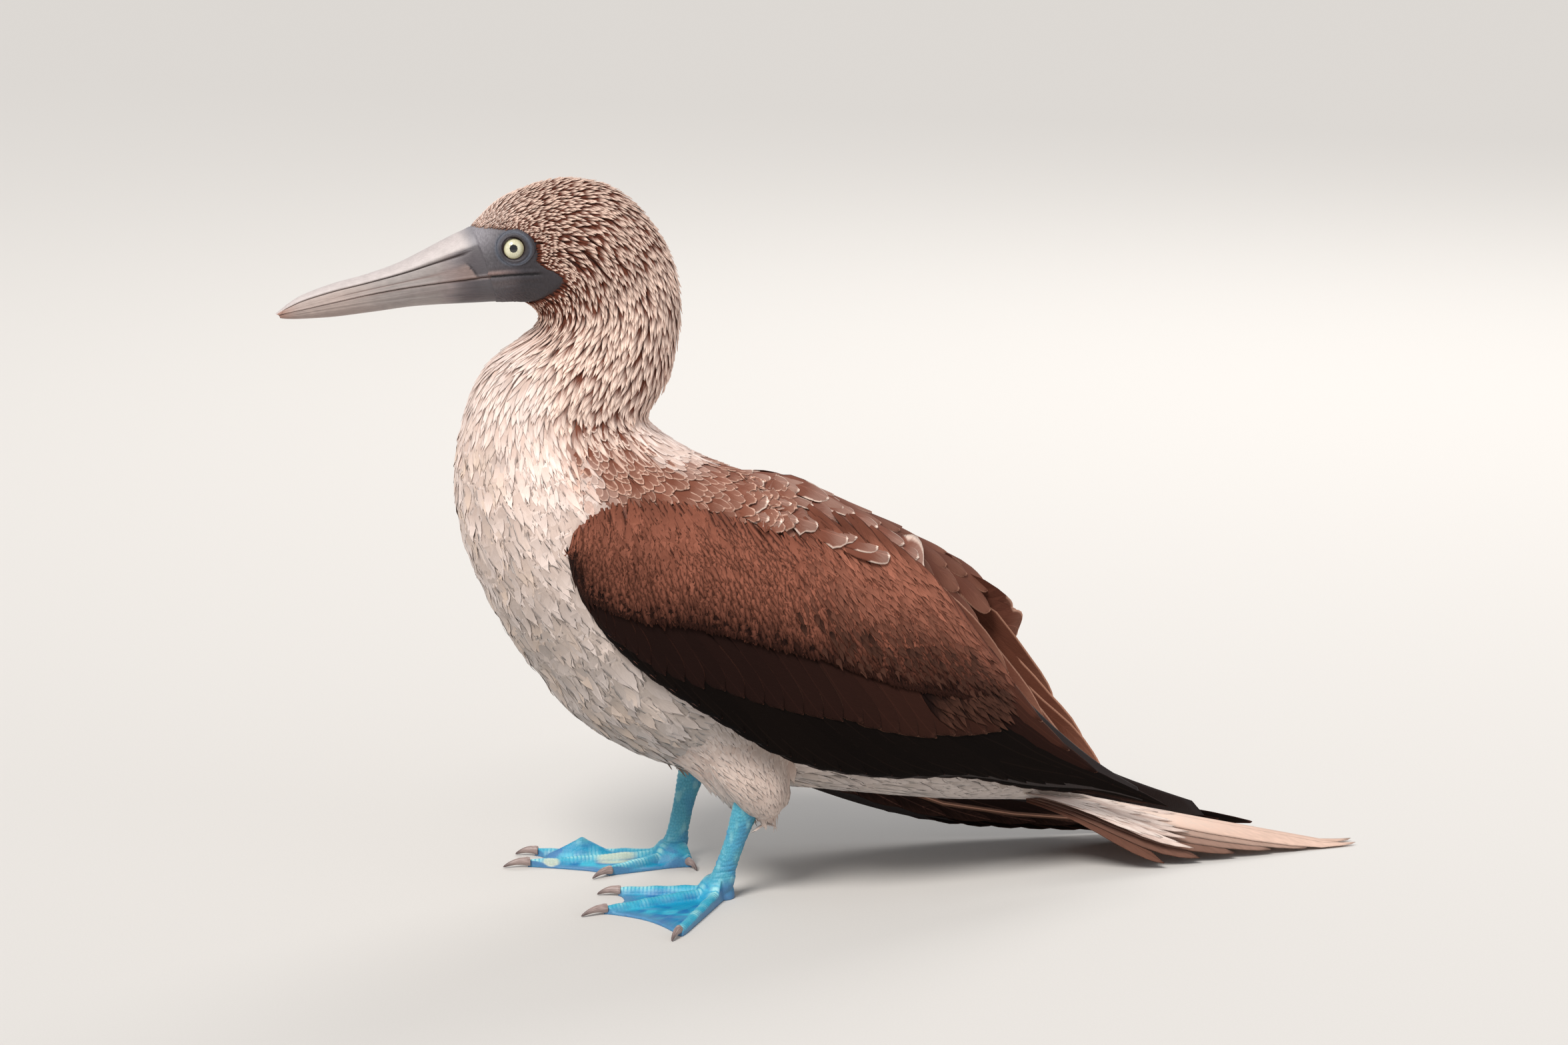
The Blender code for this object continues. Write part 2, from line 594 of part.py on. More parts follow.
def foot_height(toes, point, fold):
    """Height of the foot's upper side over a floor point, measured from the ankle."""
    radius = math.hypot(*point)
    height = WEB_THICKNESS
    taper = min(radius / TOE_TAPER_LENGTH, 1.0)
    ridge = TOE_HEIGHTS[0] + (TOE_HEIGHTS[1] - TOE_HEIGHTS[0]) * taper
    for toe in toes:
        tip = toe_tip(toe) / toe[1]
        beside = abs(point[0] * tip[1] - point[1] * tip[0])
        if point[0] * tip[0] + point[1] * tip[1] > 0:
            rise = ridge * math.exp(-(beside / TOE_HALF_WIDTH) ** 2)
            height = max(height, WEB_THICKNESS + rise)
    ankle = ANKLE_HEIGHT * math.exp(-(max(radius - ANKLE_RADIUS, 0.0) / 7.0) ** 2)
    height = min(max(height, ankle), ANKLE_HEIGHT)
    if fold:
        rise, middle, half_length, half_width = fold
        outer = math.radians((toes[2][0] + toes[3][0]) / 2)
        beside = point[0] * math.sin(outer) + point[1] * math.cos(outer)
        out = -point[0] * math.cos(outer) + point[1] * math.sin(outer)
        peak = max(1.0 - abs(out - middle) / half_length, 0.0)
        peak *= math.exp(-(beside / half_width) ** 2)
        height = max(height, WEB_THICKNESS + rise * peak)
    return height


def foot_angles(toes):
    """Directions of the foot's rays: close beside each toe, wider over the webs."""
    angles = set()
    for angle, length in toes:
        for offset in (-9.0, -4.5, -2.2, 0.0, 2.2, 4.5, 9.0):
            angles.add(angle + offset)
    for (low, short), (high, long) in zip(toes, toes[1:]):
        for share in (0.35, 0.5, 0.65):
            angles.add(low + (high - low) * share)
    first, last = toes[0][0], toes[-1][0]
    behind = 360.0 - (last - first)
    for i in range(1, RAYS_BEHIND + 1):
        angles.add(last + 9.0 + (behind - 18.0) * i / (RAYS_BEHIND + 1))
    return sorted(angles)


def make_foot(name, foot, side, fold=None):
    """A webbed foot with a flat sole, drawn on rays from the ankle."""
    ankle, toes = foot
    first = toes[0][0]
    angles = foot_angles(toes)
    points = [(ankle[0], side * ankle[1], ANKLE_HEIGHT), (ankle[0], side * ankle[1], 0.0)]
    for angle in angles:
        turned = angle if angle <= toes[-1][0] + 180.0 + first / 2 else angle - 360.0
        reach = web_reach(toes, turned)
        direction = np.array((-math.cos(math.radians(angle)), math.sin(math.radians(angle))))
        for ring in range(1, FOOT_RINGS + 1):
            spot = direction * reach * (ring / FOOT_RINGS) ** 0.9
            points.append((ankle[0] + spot[0], side * (ankle[1] + spot[1]),
                           foot_height(toes, spot, fold)))
        points.append((ankle[0] + spot[0], side * (ankle[1] + spot[1]), 0.0))
    stride = FOOT_RINGS + 1
    faces = []
    for i in range(len(angles)):
        a, b = 2 + i * stride, 2 + (i + 1) % len(angles) * stride
        faces.append((0, a, b))
        for ring in range(FOOT_RINGS):
            faces.append((a + ring, a + ring + 1, b + ring + 1, b + ring))
        faces.append((1, b + FOOT_RINGS, a + FOOT_RINGS))
    return make_object(name, points, faces, "leg_skin")


def make_claw(name, foot, side, index):
    """A curved, tapering claw just beyond the end of a toe."""
    ankle, toes = foot
    tip = toe_tip(toes[index])
    forward = tip / toes[index][1]
    sideways = np.array((-forward[1], forward[0]))
    rings = []
    for row in range(CLAW_RINGS):
        t = row / (CLAW_RINGS - 1)
        radius = 1.9 * (1 - t) ** 0.7 + 0.3
        centre = tip + forward * (GAP + CLAW_LENGTHS[index] * t)
        level = 2.5 - 1.6 * t ** 2
        ring = []
        for i in range(CLAW_SIDES):
            turn = 2 * math.pi * i / CLAW_SIDES
            spot = centre + sideways * radius * math.cos(turn)
            ring.append((ankle[0] + spot[0], side * (ankle[1] + spot[1]),
                         level + radius * math.sin(turn)))
        rings.append(ring)
    return loft(name, rings, "claw_horn")


# ---------------------------------------------------------------- the bird

def make_head():
    head = body_length("head", 0.0, HEAD_END, HEAD_RINGS, HEAD_SIDES, "plumage_head")
    for side, name in ((LEFT, "eye_left"), (RIGHT, "eye_right")):
        cut(head, make_eye_socket(side))
        make_eye(name, side)
    make_bill_half("bill_upper", True)
    make_bill_half("bill_lower", False)


def make_trunk():
    body_length("neck", HEAD_END, NECK_END, NECK_RINGS, NECK_SIDES, "plumage_head")
    body_length("trunk", NECK_END, TRUNK_END, TRUNK_RINGS, TRUNK_SIDES, "plumage_body")
    return body_length("trunk_cutter", NECK_END, TRUNK_END, TRUNK_RINGS, TRUNK_SIDES,
                       "plumage_body", grow=GAP)


def make_leg(prefix, side, thigh_shift, tarsus_table, foot, fold, trunk_cutter):
    thigh = loft(f"thigh_{prefix}", leg_rings(THIGH, side, thigh_shift), "plumage_body")
    cut(thigh, trunk_cutter)
    tarsus = loft(f"tarsus_{prefix}", leg_rings(tarsus_table, side), "leg_skin")
    thigh_cutter = loft(f"thigh_{prefix}_cutter", leg_rings(THIGH, side, thigh_shift, GAP),
                        "plumage_body")
    cut(tarsus, thigh_cutter)
    make_foot(f"foot_{prefix}", foot, side, fold)
    for index in range(len(CLAW_LENGTHS)):
        make_claw(f"claw_{prefix}_{index + 1}", foot, side, index)


def make_wings(trunk_cutter):
    for prefix, side, wing, scapulars, tertials in (
            ("left", LEFT, WING_LEFT, SCAPULARS_LEFT, TERTIALS_LEFT),
            ("right", RIGHT, WING_RIGHT, SCAPULARS_RIGHT, TERTIALS_RIGHT)):
        make_wing(f"wing_{prefix}", wing, side, trunk_cutter)
        make_wing_feathers(prefix, wing, side, trunk_cutter)
        make_cover(f"scapulars_{prefix}", scapulars, side, trunk_cutter)
        make_cover(f"tertials_{prefix}", tertials, side, trunk_cutter)


def make_tail():
    for prefix, side in (("left", LEFT), ("right", RIGHT)):
        for index in range(len(TAIL_TIPS)):
            make_tail_feather(f"tail_feather_{prefix}_{index + 1}", side, index)


def centre_on_floor():
    """Move the meshes so that the origin is the middle of the base of the bird's box."""
    bird = [item for item in bpy.data.objects if item.type == "MESH" and not item.hide_render]
    corners = np.array([vertex.co for item in bird for vertex in item.data.vertices])
    middle = (corners.min(axis=0) + corners.max(axis=0)) / 2
    middle[2] = 0.0
    for mesh in {item.data for item in bpy.data.objects if item.type == "MESH"}:
        for vertex in mesh.vertices:
            vertex.co = np.array(vertex.co) - middle


def main():
    clear_scene()
    make_head()
    trunk_cutter = make_trunk()
    make_wings(trunk_cutter)
    make_tail()
    make_leg("left", LEFT, (0.0, 0.0), TARSUS_LEFT, FOOT_LEFT, None, trunk_cutter)
    make_leg("right", RIGHT, RIGHT_THIGH_SHIFT, TARSUS_RIGHT, FOOT_RIGHT, WEB_FOLD, trunk_cutter)
    centre_on_floor()
    bird = bpy.data.objects.new("booby", None)
    bpy.context.scene.collection.objects.link(bird)
    for item in list(bpy.data.objects):
        if item.type == "MESH":
            item.parent = bird


main()
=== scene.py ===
"""The looks of a still, life-size blue-footed booby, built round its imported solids.

Sizes are millimetres, measured from the floor point midway between the feet, with
the bill along -X and the bird's left side at -Y, as in the solids' own design;
to_frame() moves points from there into the frame's metres.
"""

import math

import bmesh
import bpy
import numpy as np
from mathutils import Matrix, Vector


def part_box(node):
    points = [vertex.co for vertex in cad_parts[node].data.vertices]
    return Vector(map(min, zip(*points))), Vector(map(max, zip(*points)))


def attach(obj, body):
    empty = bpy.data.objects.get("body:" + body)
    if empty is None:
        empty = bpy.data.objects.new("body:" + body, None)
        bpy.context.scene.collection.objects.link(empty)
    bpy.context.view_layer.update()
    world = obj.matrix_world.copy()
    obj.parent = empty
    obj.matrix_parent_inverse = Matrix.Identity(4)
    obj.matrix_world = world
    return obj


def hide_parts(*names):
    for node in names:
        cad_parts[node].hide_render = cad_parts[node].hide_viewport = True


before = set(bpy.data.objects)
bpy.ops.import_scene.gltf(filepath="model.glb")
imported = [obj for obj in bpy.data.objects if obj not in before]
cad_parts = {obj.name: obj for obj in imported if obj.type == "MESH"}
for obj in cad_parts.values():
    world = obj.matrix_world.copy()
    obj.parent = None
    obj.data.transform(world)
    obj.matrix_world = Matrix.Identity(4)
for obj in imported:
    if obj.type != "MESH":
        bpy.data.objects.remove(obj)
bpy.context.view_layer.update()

MM = 0.001
LEFT, RIGHT = -1, 1
SIDES = (("left", LEFT), ("right", RIGHT))
TURN = 2 * math.pi
RANDOM = np.random.default_rng(20)

# ---------------------------------------------------------------- the solids' own stations

# Stations down head, neck and trunk: back line x, z; front line x, z; half-width.
BODY = (
    (-120.8, 343.3, -109, 305.5, 15),
    (-103, 358, -94.5, 304.8, 20),
    (-74, 366.3, -88, 300.5, 24.5),
    (-46.5, 359.8, -86, 296.5, 27),
    (-26, 338, -86.8, 292.5, 28),
    (-15.8, 311, -90.8, 288, 29),
    (-16.5, 284, -101, 281.5, 30.5),
    (-22.5, 262, -112.5, 272.5, 34),
    (-32, 246, -121.5, 257, 39),
    (-25, 236, -127, 236, 44),
    (-5, 223, -129, 211, 51),
    (22, 211.5, -125.5, 184, 57),
    (53, 199.5, -112.5, 151, 61),
    (80, 183.5, -94, 120.5, 62),
    (102, 162, -67, 88, 60),
    (119.5, 137, -28, 65.5, 54),
    (135.5, 108, 18, 53.5, 46),
    (150, 81, 68, 45.5, 37),
    (165, 62, 117.5, 38.5, 26),
    (178, 51, 158, 35, 15),
)
BODY_END = len(BODY) - 1
TRUNK_START = 8

# Stations along the bill: culmen x, z; mouth line x, z; underside x, z; half-width.
BILL = (
    (-120.8, 343.3, -113.7, 320, -109, 305.5, 14.2),
    (-138.9, 334.4, -133.5, 317.6, -130, 305.2, 12),
    (-155.6, 326.4, -152, 315.2, -149.5, 304.4, 9.8),
    (-172, 320.9, -170.2, 312.2, -169.4, 302.2, 8),
    (-189, 316.6, -188.5, 308.4, -188.2, 300.4, 6.2),
    (-203.9, 311.5, -203.4, 305.1, -203.2, 299.8, 4.3),
    (-212.3, 306.7, -211.8, 303.3, -211.4, 299.8, 2.8),
    (-218, 302.6, -216.4, 302, -215.6, 300.3, 1.2),
)
EYE_CENTRE = (-100.4, 12.9, 333.8)
EYE_RADIUS = 7.5

# Stations along a folded wing: lower edge x, z; upper edge x, z;
# how far out the lower and the upper edge lie, bulge between them, thickness.
WING = {LEFT: (
    (-80.5, 184, -80.5, 189, 50, 48, 0, 4),
    (-76, 168, -75, 201, 52, 46, 6, 8),
    (-64, 146, -55, 210.5, 55, 44, 10, 9),
    (-42, 123, -22, 206, 59, 44, 12, 9),
    (-6, 97.5, 22, 190, 62, 44, 13, 9),
    (33, 74, 66, 176, 62, 40, 14, 8),
    (78, 62.5, 104, 161, 57, 36, 13, 7),
    (125, 59, 131, 130, 48, 31, 10, 5),
    (162, 50, 161, 94, 37, 28, 6, 3.4),
    (201, 43.5, 196, 61, 29, 26, 3, 2.4),
    (237.5, 32, 237, 33.5, 25, 25, 0, 1.2),
), RIGHT: (
    (-80.5, 184, -80.5, 189, 50, 48, 0, 4),
    (-74, 163, -75, 201, 52, 46, 6, 8),
    (-58, 138, -55, 210.5, 55, 44, 10, 9),
    (-36, 110, -22, 204, 60, 44, 12, 9),
    (-3, 80, 22, 185, 64, 44, 13, 9),
    (35, 43, 66, 164, 62, 44, 12, 8),
    (80, 22, 104, 137, 57, 44, 9, 6),
    (133, 8, 136, 100, 52, 44, 6, 4),
    (188, 4, 172, 68, 48, 43, 3, 3),
    (246, 3, 222, 36, 45, 42, 1, 2.2),
    (303, 2.6, 302, 4, 41, 41, 0, 1.2),
)}
WING_LIFT = 2.6
WING_ROUNDING = 3.0

# Covers of scapulars over the shoulders and of tertials over the rump, in the wings' columns.
SCAPULARS = {LEFT: (
    (4, 204, 10, 214.5, 34, 12, 0, 2),
    (31, 191, 41, 206, 40, 9, 3, 3),
    (57, 182, 68, 192.5, 41, 12, 3, 3),
    (82, 174, 92, 178.5, 38, 20, 2, 2.6),
    (105, 165.5, 108, 167, 27, 25, 0, 1.4),
), RIGHT: (
    (4, 203, 12, 214.5, 34, 16, 0, 2),
    (35, 190, 42, 206, 40, 16, 3, 3),
    (68, 171, 84, 187, 39, 17, 4, 3.4),
    (94, 154, 110, 173, 35, 18, 4, 3),
    (120, 137, 135, 156.5, 29, 18, 3, 2.6),
    (146, 123, 156, 134.5, 23, 18, 1, 2),
    (168, 117.5, 169, 119, 18, 18, 0, 1.2),
)}
TERTIALS = {LEFT: (
    (100, 146, 108, 158, 27, 17, 1, 2.4),
    (124, 122, 133, 134, 21, 13, 1, 2.4),
    (147, 98, 158, 103, 17, 10, 1, 2.2),
    (168, 77, 176, 80, 13, 9, 0, 1.8),
    (191, 55, 192, 56.5, 11, 11, 0, 1.2),
), RIGHT: (
    (108, 136, 120, 148, 26, 15, 1, 2.4),
    (133, 113, 148, 136, 20, 11, 2, 2.4),
    (155, 94, 168, 107.5, 16, 9, 1, 2.2),
    (173, 78, 184, 83, 13, 9, 0, 1.8),
    (190, 65, 200.5, 63.5, 11, 9, 0, 1.6),
    (212, 44, 213, 45.5, 10, 10, 0, 1.2),
)}

# Tail: a roof of six graduated feathers a side, the longest pair laid on the floor.
TAIL_TOP = (165, 40.5)
TAIL_SLOPE = -0.2327
TAIL_DROOP, TAIL_REACH, TAIL_DROOP_RAMP = 17.5, 30, 80.0
TAIL_TIPS = ((346, 4), (318, 9), (297, 14),
             (276, 19.5), (256, 25), (236, 31))
TAIL_HALF_WIDTHS = (9, 9, 9, 8.6, 8.2, 7.6)
TAIL_LAYER = 1.0

# Thigh: height; x centre, half-length; y centre, half-width (left side).
THIGH = (
    (42.5, 20.5, 3.5, 41, 3),
    (45.5, 19.6, 8.5, 41, 7),
    (52.5, 17.9, 13.6, 41, 10.5),
    (61, 14.8, 17.6, 40, 12.5),
    (70, 12, 20.5, 38, 12),
    (82, 10, 22, 34, 11),
)
THIGH_SHIFT = {LEFT: (0, 0), RIGHT: (-19, 6.5)}

# Tarsus: height; x centre, half-depth; y centre, half-width.
TARSUS = {LEFT: (
    (11.6, -0.4, 6.6, 37, 5),
    (16, 1, 5.6, 37, 4.2),
    (30, 6, 5.4, 37.4, 3.9),
    (40, 9.4, 6.4, 38, 4.3),
    (50, 12.6, 7.4, 38.6, 5),
    (58, 15.6, 7.8, 39, 5.4),
), RIGHT: (
    (11.6, -11.8, 6.6, 37, 5),
    (16, -10.8, 5.6, 37, 4.2),
    (30, -7.6, 5.4, 37.4, 3.9),
    (40, -4.9, 6.4, 38, 4.3),
    (50, -2, 7.6, 38.6, 5),
    (58, 0.5, 8, 39, 5.4),
)}

# Feet: ankle on the floor x, y; toes as (angle outwards from straight ahead in
# degrees, length without claw): hallux, second, third and fourth toe.
FOOT = {LEFT: ((-0.5, 35), ((-85, 23), (-14, 53.5), (16, 66.5), (62, 71))),
        RIGHT: ((-12, 36), ((-108, 15), (-29, 45), (2, 78.5), (18, 75)))}
CLAW_LENGTHS = (8, 10, 12, 10)
WEB_HOLLOW = 0.11

# ---------------------------------------------------------------- what only the looks need

# Edge between the bare face and the feathers, x and z seen from the side, from the
# forehead over and behind the eye to the end of the gape and down to the throat.
MASK_EDGE = ((-121, 343.6), (-110.5, 343.6), (-102.9, 343.2), (-96, 341.2), (-91.7, 337.2),
             (-90.4, 332.1), (-90.8, 327.5), (-87.4, 325.2), (-82.9, 323.2), (-78.3, 320.1),
             (-77.6, 318), (-80.3, 314.6), (-85.1, 310.2), (-89.1, 307.4), (-94.6, 304.6))
MASK_FRONT = ((-100, 290), (-150, 290), (-150, 343.6))

# Hems of the wing's coverts as station and share of the wing's height.
MEDIAN_HEM = ((0, 0), (1, 0.08), (1.8, 0.20), (2.55, 0.30), (3.2, 0.42), (3.75, 0.49), (4.3, 0.52),
              (4.8, 0.55), (5.7, 0.51), (6.2, 0.53), (6.6, 0.58), (7, 0.76), (7.6, 0.92))
GREATER_HEM = ((0, 0), (2.4, 0.06), (3.25, 0.08), (4, 0.18), (4.6, 0.24), (5.65, 0.28),
               (6.25, 0.26), (6.65, 0.28), (7.1, 0.36), (7.6, 0.50), (8.2, 0.7))

# Soft clumps of feathers on breast and belly: how many, and how deep they are by station.
CLUMPS_PER_RADIAN, CLUMPS_PER_STATION = 3.6, 1.75
CLUMP_DEPTH = ((8, 1), (9.5, 1.5), (12.5, 1.4), (15, 1), (18.5, 0.7))

# The body's coat by station: gap between vanes across and along, their length and width,
# depth of their roots and how far their tips stand from the body's outline. COAT serves head,
# neck, breast and belly, and MANTLE_COAT the scalloped back.
COAT = (
    (0, 1.1, 1.7, 4.8, 1.4, 0.8, 0.15),
    (1, 1.25, 2.4, 7, 1.6, 1.2, 0.30),
    (2, 1.5, 3.3, 9.6, 2, 1.5, 0.45),
    (4, 1.8, 4.2, 14, 2.7, 1.9, 0.7),
    (6, 2.2, 4.9, 18, 3.3, 2.1, 0.7),
    (8, 2.7, 5.2, 21, 4.2, 1.4, 0.3),
    (9.5, 3.3, 4.8, 22, 5.8, 0.25, 0),
    (12, 3.9, 5.2, 24, 7.4, 0.15, 0),
    (19, 4.4, 5.6, 26, 8.4, 0.15, 0),
)
MANTLE_COAT = (
    (8, 2.6, 3.6, 12, 3.8, 1.4, 0.3),
    (9.5, 3.8, 4.8, 16, 6.2, 1.6, 0.4),
    (11, 5.2, 6, 20, 8.6, 1.8, 0.5),
    (12.5, 7.6, 8.2, 26, 12.5, 2.2, 0.6),
    (19, 9, 9, 28, 14, 2.2, 0.6),
)


def srgb(red, green, blue):
    """A colour given in 0 to 255 screen values, as the shaders' linear one."""
    return tuple(((c / 255 + 0.055) / 1.055) ** 2.4 if c > 10 else c / 255 / 12.92
                 for c in (red, green, blue))


# The roots' dark brown is partly the head and neck feathers' own brown and partly painted shade, for the
# shade in the gaps between the pale tips.
CROWN_TIP, CROWN_ROOT = srgb(244, 212, 194), srgb(88, 46, 34)
NECK_TIP, NECK_ROOT = srgb(246, 219, 204), srgb(112, 64, 49)
WHITE_TIP, WHITE_ROOT = srgb(243, 223, 214), srgb(218, 193, 181)
# The belly's colours are its white greyed by painted shade.
BELLY_SHADE_TIP, BELLY_SHADE_ROOT = srgb(190, 178, 172), srgb(162, 150, 142)
MANTLE_TIP, MANTLE_ROOT = srgb(226, 184, 164), srgb(124, 75, 59)
COVERT_TIP, COVERT_ROOT = srgb(156, 97, 78), srgb(132, 79, 62)
GREATER_TIP, GREATER_ROOT = srgb(56, 30, 22), srgb(26, 12, 9)
FLIGHT_TIP, FLIGHT_ROOT = srgb(46, 26, 21), srgb(13, 7, 5)
BACK_TIP, BACK_ROOT = srgb(178, 128, 107), srgb(98, 58, 46)
UNDERWING_TIP, UNDERWING_ROOT, QUILL = srgb(64, 42, 35), srgb(38, 24, 20), srgb(132, 98, 82)
THIGH_TIP, THIGH_ROOT, BUFF = srgb(204, 185, 174), srgb(180, 158, 147), srgb(222, 190, 158)
SCAPULAR_TIP, SCAPULAR_ROOT = srgb(250, 224, 208), srgb(120, 72, 57)
TERTIAL_TIP, TERTIAL_ROOT = srgb(190, 140, 117), srgb(102, 60, 46)
TAIL_PALE, TAIL_PALE_TIP, TAIL_BROWN = srgb(226, 204, 190), srgb(208, 178, 162), srgb(108, 74, 61)
TAIL_COVERT_PALE, TAIL_COVERT_BROWN = srgb(236, 220, 210), srgb(176, 138, 122)
SLATE, SLATE_DARK, SLATE_PALE = srgb(76, 75, 82), srgb(44, 44, 50), srgb(136, 122, 120)


# ---------------------------------------------------------------- small mathematics

def catmull(table, station):
    """Catmull-Rom values of a table of equal rows at an array of stations."""
    rows = np.asarray(table, float)
    last = len(rows) - 1
    station = np.asarray(station, float)
    i = np.clip(np.floor(station).astype(int), 0, last - 1)
    t = (station - i)[..., None]
    p1, p2 = rows[i], rows[i + 1]
    p0 = np.where((i > 0)[..., None], rows[np.maximum(i - 1, 0)], 2 * p1 - p2)
    p3 = np.where((i + 2 <= last)[..., None], rows[np.minimum(i + 2, last)], 2 * p2 - p1)
    return 0.5 * (2 * p1 + (p2 - p0) * t + (2 * p0 - 5 * p1 + 4 * p2 - p3) * t * t
                  + (3 * p1 - p0 - 3 * p2 + p3) * t ** 3)


def curves(table, station):
    """The same values with the table's columns first, ready to be unpacked."""
    return np.moveaxis(catmull(table, station), -1, 0)


def ramp(value, low, high):
    """Smooth step of an array from 0 at low to 1 at high; low may be the larger."""
    t = np.clip((np.asarray(value, float) - low) / (high - low), 0, 1)
    return t * t * (3 - 2 * t)


def bump(value, middle, width):
    return np.exp(-((np.asarray(value, float) - middle) / width) ** 2)


def table_value(table, key, column=1):
    rows = np.asarray(table, float)
    return np.interp(key, rows[:, 0], rows[:, column])


def spread(value):
    """A value as an array with one more axis at its end, to be spread over its neighbours."""
    return np.asarray(value)[..., None]


def only(kept, *arrays):
    """The kept rows of several arrays."""
    return [array[kept] for array in arrays]


def all_pairs(u, v):
    """Both parameters of every point of a grid."""
    return np.meshgrid(u, v, indexing="ij")


def ring(count):
    """Angles of so many points round a ring."""
    return np.linspace(0, TURN, count, endpoint=False)


def opaque(colours):
    return np.concatenate((colours, np.ones((len(colours), 1))), 1)


def unit(vectors):
    return vectors / np.maximum(np.linalg.norm(vectors, axis=-1, keepdims=True), 1e-12)


def dot(a, b):
    return np.sum(a * b, axis=-1)


def blend(a, b, share):
    """Mix of two colours, or arrays of them, by an array of shares."""
    share = np.asarray(share, float)[..., None]
    return np.asarray(a) * (1 - share) + np.asarray(b) * share


def waves(points, size, seed=0, terms=9):
    """A smooth wandering value near -1 to 1 over points, with features about size wide."""
    source = np.random.default_rng(seed)
    total = np.zeros(points.shape[:-1])
    for _ in range(terms):
        direction = unit(source.normal(size=3)) * source.uniform(0.6, 1.6) * TURN / size
        total = total + np.sin(points @ direction + source.uniform(0, TURN))
    return total / math.sqrt(terms / 2) / 1.6


def frame_shift():
    """What takes a design point into the frame, read from where the left eye lies."""
    low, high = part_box("eye_left")
    x, y, z = EYE_CENTRE
    return np.array((low + high) / 2) / MM - (x, LEFT * y, z)


SHIFT = frame_shift()


def to_frame(points):
    return (np.asarray(points, float) + SHIFT) * MM


# ---------------------------------------------------------------- sheets of points

class Sheet:
    """A sheet of points over two parameters, read anywhere between its points.

    place is its rectangle of the skin's unwrap: left, bottom, width and height.
    """

    def __init__(self, function, u_span, v_span, counts, outward, wraps=False,
                 place=(0.01, 0.01, 0.98, 0.98)):
        self.u_span, self.v_span, self.wraps, self.place = u_span, v_span, wraps, place
        u = np.linspace(*u_span, counts[0])
        v = np.linspace(*v_span, counts[1], endpoint=not wraps)
        self.points = function(*all_pairs(u, v))
        self.u_step, self.v_step = u[1] - u[0], v[1] - v[0]
        self.du = np.gradient(self.points, self.u_step, axis=0)
        if wraps:
            ahead, behind = np.roll(self.points, -1, axis=1), np.roll(self.points, 1, axis=1)
            self.dv = (ahead - behind) / (2 * self.v_step)
        else:
            self.dv = np.gradient(self.points, self.v_step, axis=1)
        out = outward if outward is not None else self.points - self.points.mean(1, keepdims=True)
        self.turn = 1 if np.sum(np.cross(self.du, self.dv) * out) > 0 else -1.0

    def unwrap(self, u, v):
        """Places of points on the skin's unwrap."""
        left, bottom, width, height = self.place
        across = (v - self.v_span[0]) / (self.v_span[1] - self.v_span[0])
        across = across % 1 if self.wraps else np.clip(across, 0, 1)
        down = np.clip((u - self.u_span[0]) / (self.u_span[1] - self.u_span[0]), 0, 1)
        return np.stack((left + width * across, bottom + height * down), -1)

    def read(self, u, v):
        """Points and normals, and the points' steps along u and v; it runs on straight past an edge."""
        rows, columns = self.points.shape[:2]
        inner_u = np.clip(u, *self.u_span)
        r = np.clip((inner_u - self.u_span[0]) / self.u_step, 0, rows - 1.00001)
        if self.wraps:
            inner_v = v
            c = np.mod((v - self.v_span[0]) / self.v_step, columns)
        else:
            inner_v = np.clip(v, *self.v_span)
            c = np.clip((inner_v - self.v_span[0]) / self.v_step, 0, columns - 1.00001)
        i = r.astype(int)
        j = c.astype(int) % columns
        next_j = (j + 1) % columns
        fr, fc = spread(r - i), spread(c - np.floor(c))

        def mixed(grid):
            near = grid[i, j] * (1 - fc) + grid[i, next_j] * fc
            far = grid[i + 1, j] * (1 - fc) + grid[i + 1, next_j] * fc
            return near * (1 - fr) + far * fr

        du, dv = mixed(self.du), mixed(self.dv)
        points = mixed(self.points) + du * spread(u - inner_u) + dv * spread(v - inner_v)
        return points, unit(np.cross(du, dv)) * self.turn, du, dv


def steps(du, dv, direction):
    """Parameter steps that move one millimetre along a direction lying in a sheet."""
    a, b, c = dot(du, du), dot(du, dv), dot(dv, dv)
    along, across = dot(du, direction), dot(dv, direction)
    area = np.maximum(a * c - b * b, 1e-9)
    return (c * along - b * across) / area, (a * across - b * along) / area


def clump_rise(station, turn, points):
    """0 behind and 1 at the edge of the soft overlapping clumps of feathers on breast and belly."""
    across = turn * CLUMPS_PER_RADIAN + 0.30 * waves(points, 34, 51)
    along = station * CLUMPS_PER_STATION + 0.28 * waves(points, 26, 52)
    nearest = np.full(np.shape(along), 9)
    for row in (-1, 0, 1):
        index = np.floor(along) + row
        place = (across + 0.5 * index) % 1.0
        edge = index + 1.9 * place * (1 - place)
        nearest = np.minimum(nearest, np.where(edge >= along, edge - along, 9))
    return np.clip(1 - nearest, 0, 1)


def clump_share(station, turn):
    """Where the clumps show: on the front of the trunk, fading out at its ends."""
    return ramp(station, 8, 9.4) * ramp(station, 18.5, 15.5) * ramp(np.cos(turn), 0.35, -0.15)


def body_sheet_points(station, turn):
    """The body's outline with soft swells under the clumps; turn 0 is the back's middle."""
    back_x, back_z, front_x, front_z, half_width = curves(BODY, station)
    middle = np.stack(((back_x + front_x) / 2, 0 * back_x, (back_z + front_z) / 2), -1)
    out = np.stack(((back_x - front_x) / 2 * np.cos(turn), half_width * np.sin(turn),
                    (back_z - front_z) / 2 * np.cos(turn)), -1)
    points = middle + out
    swell = np.sin(math.pi * clump_rise(station, turn, points) ** 1.4) ** 2 - 0.5
    rise = table_value(CLUMP_DEPTH, station) * clump_share(station, turn) * swell
    return points + unit(out) * spread(rise)


TRUNK_LINES = catmull(BODY, np.linspace(TRUNK_START, BODY_END, 221))


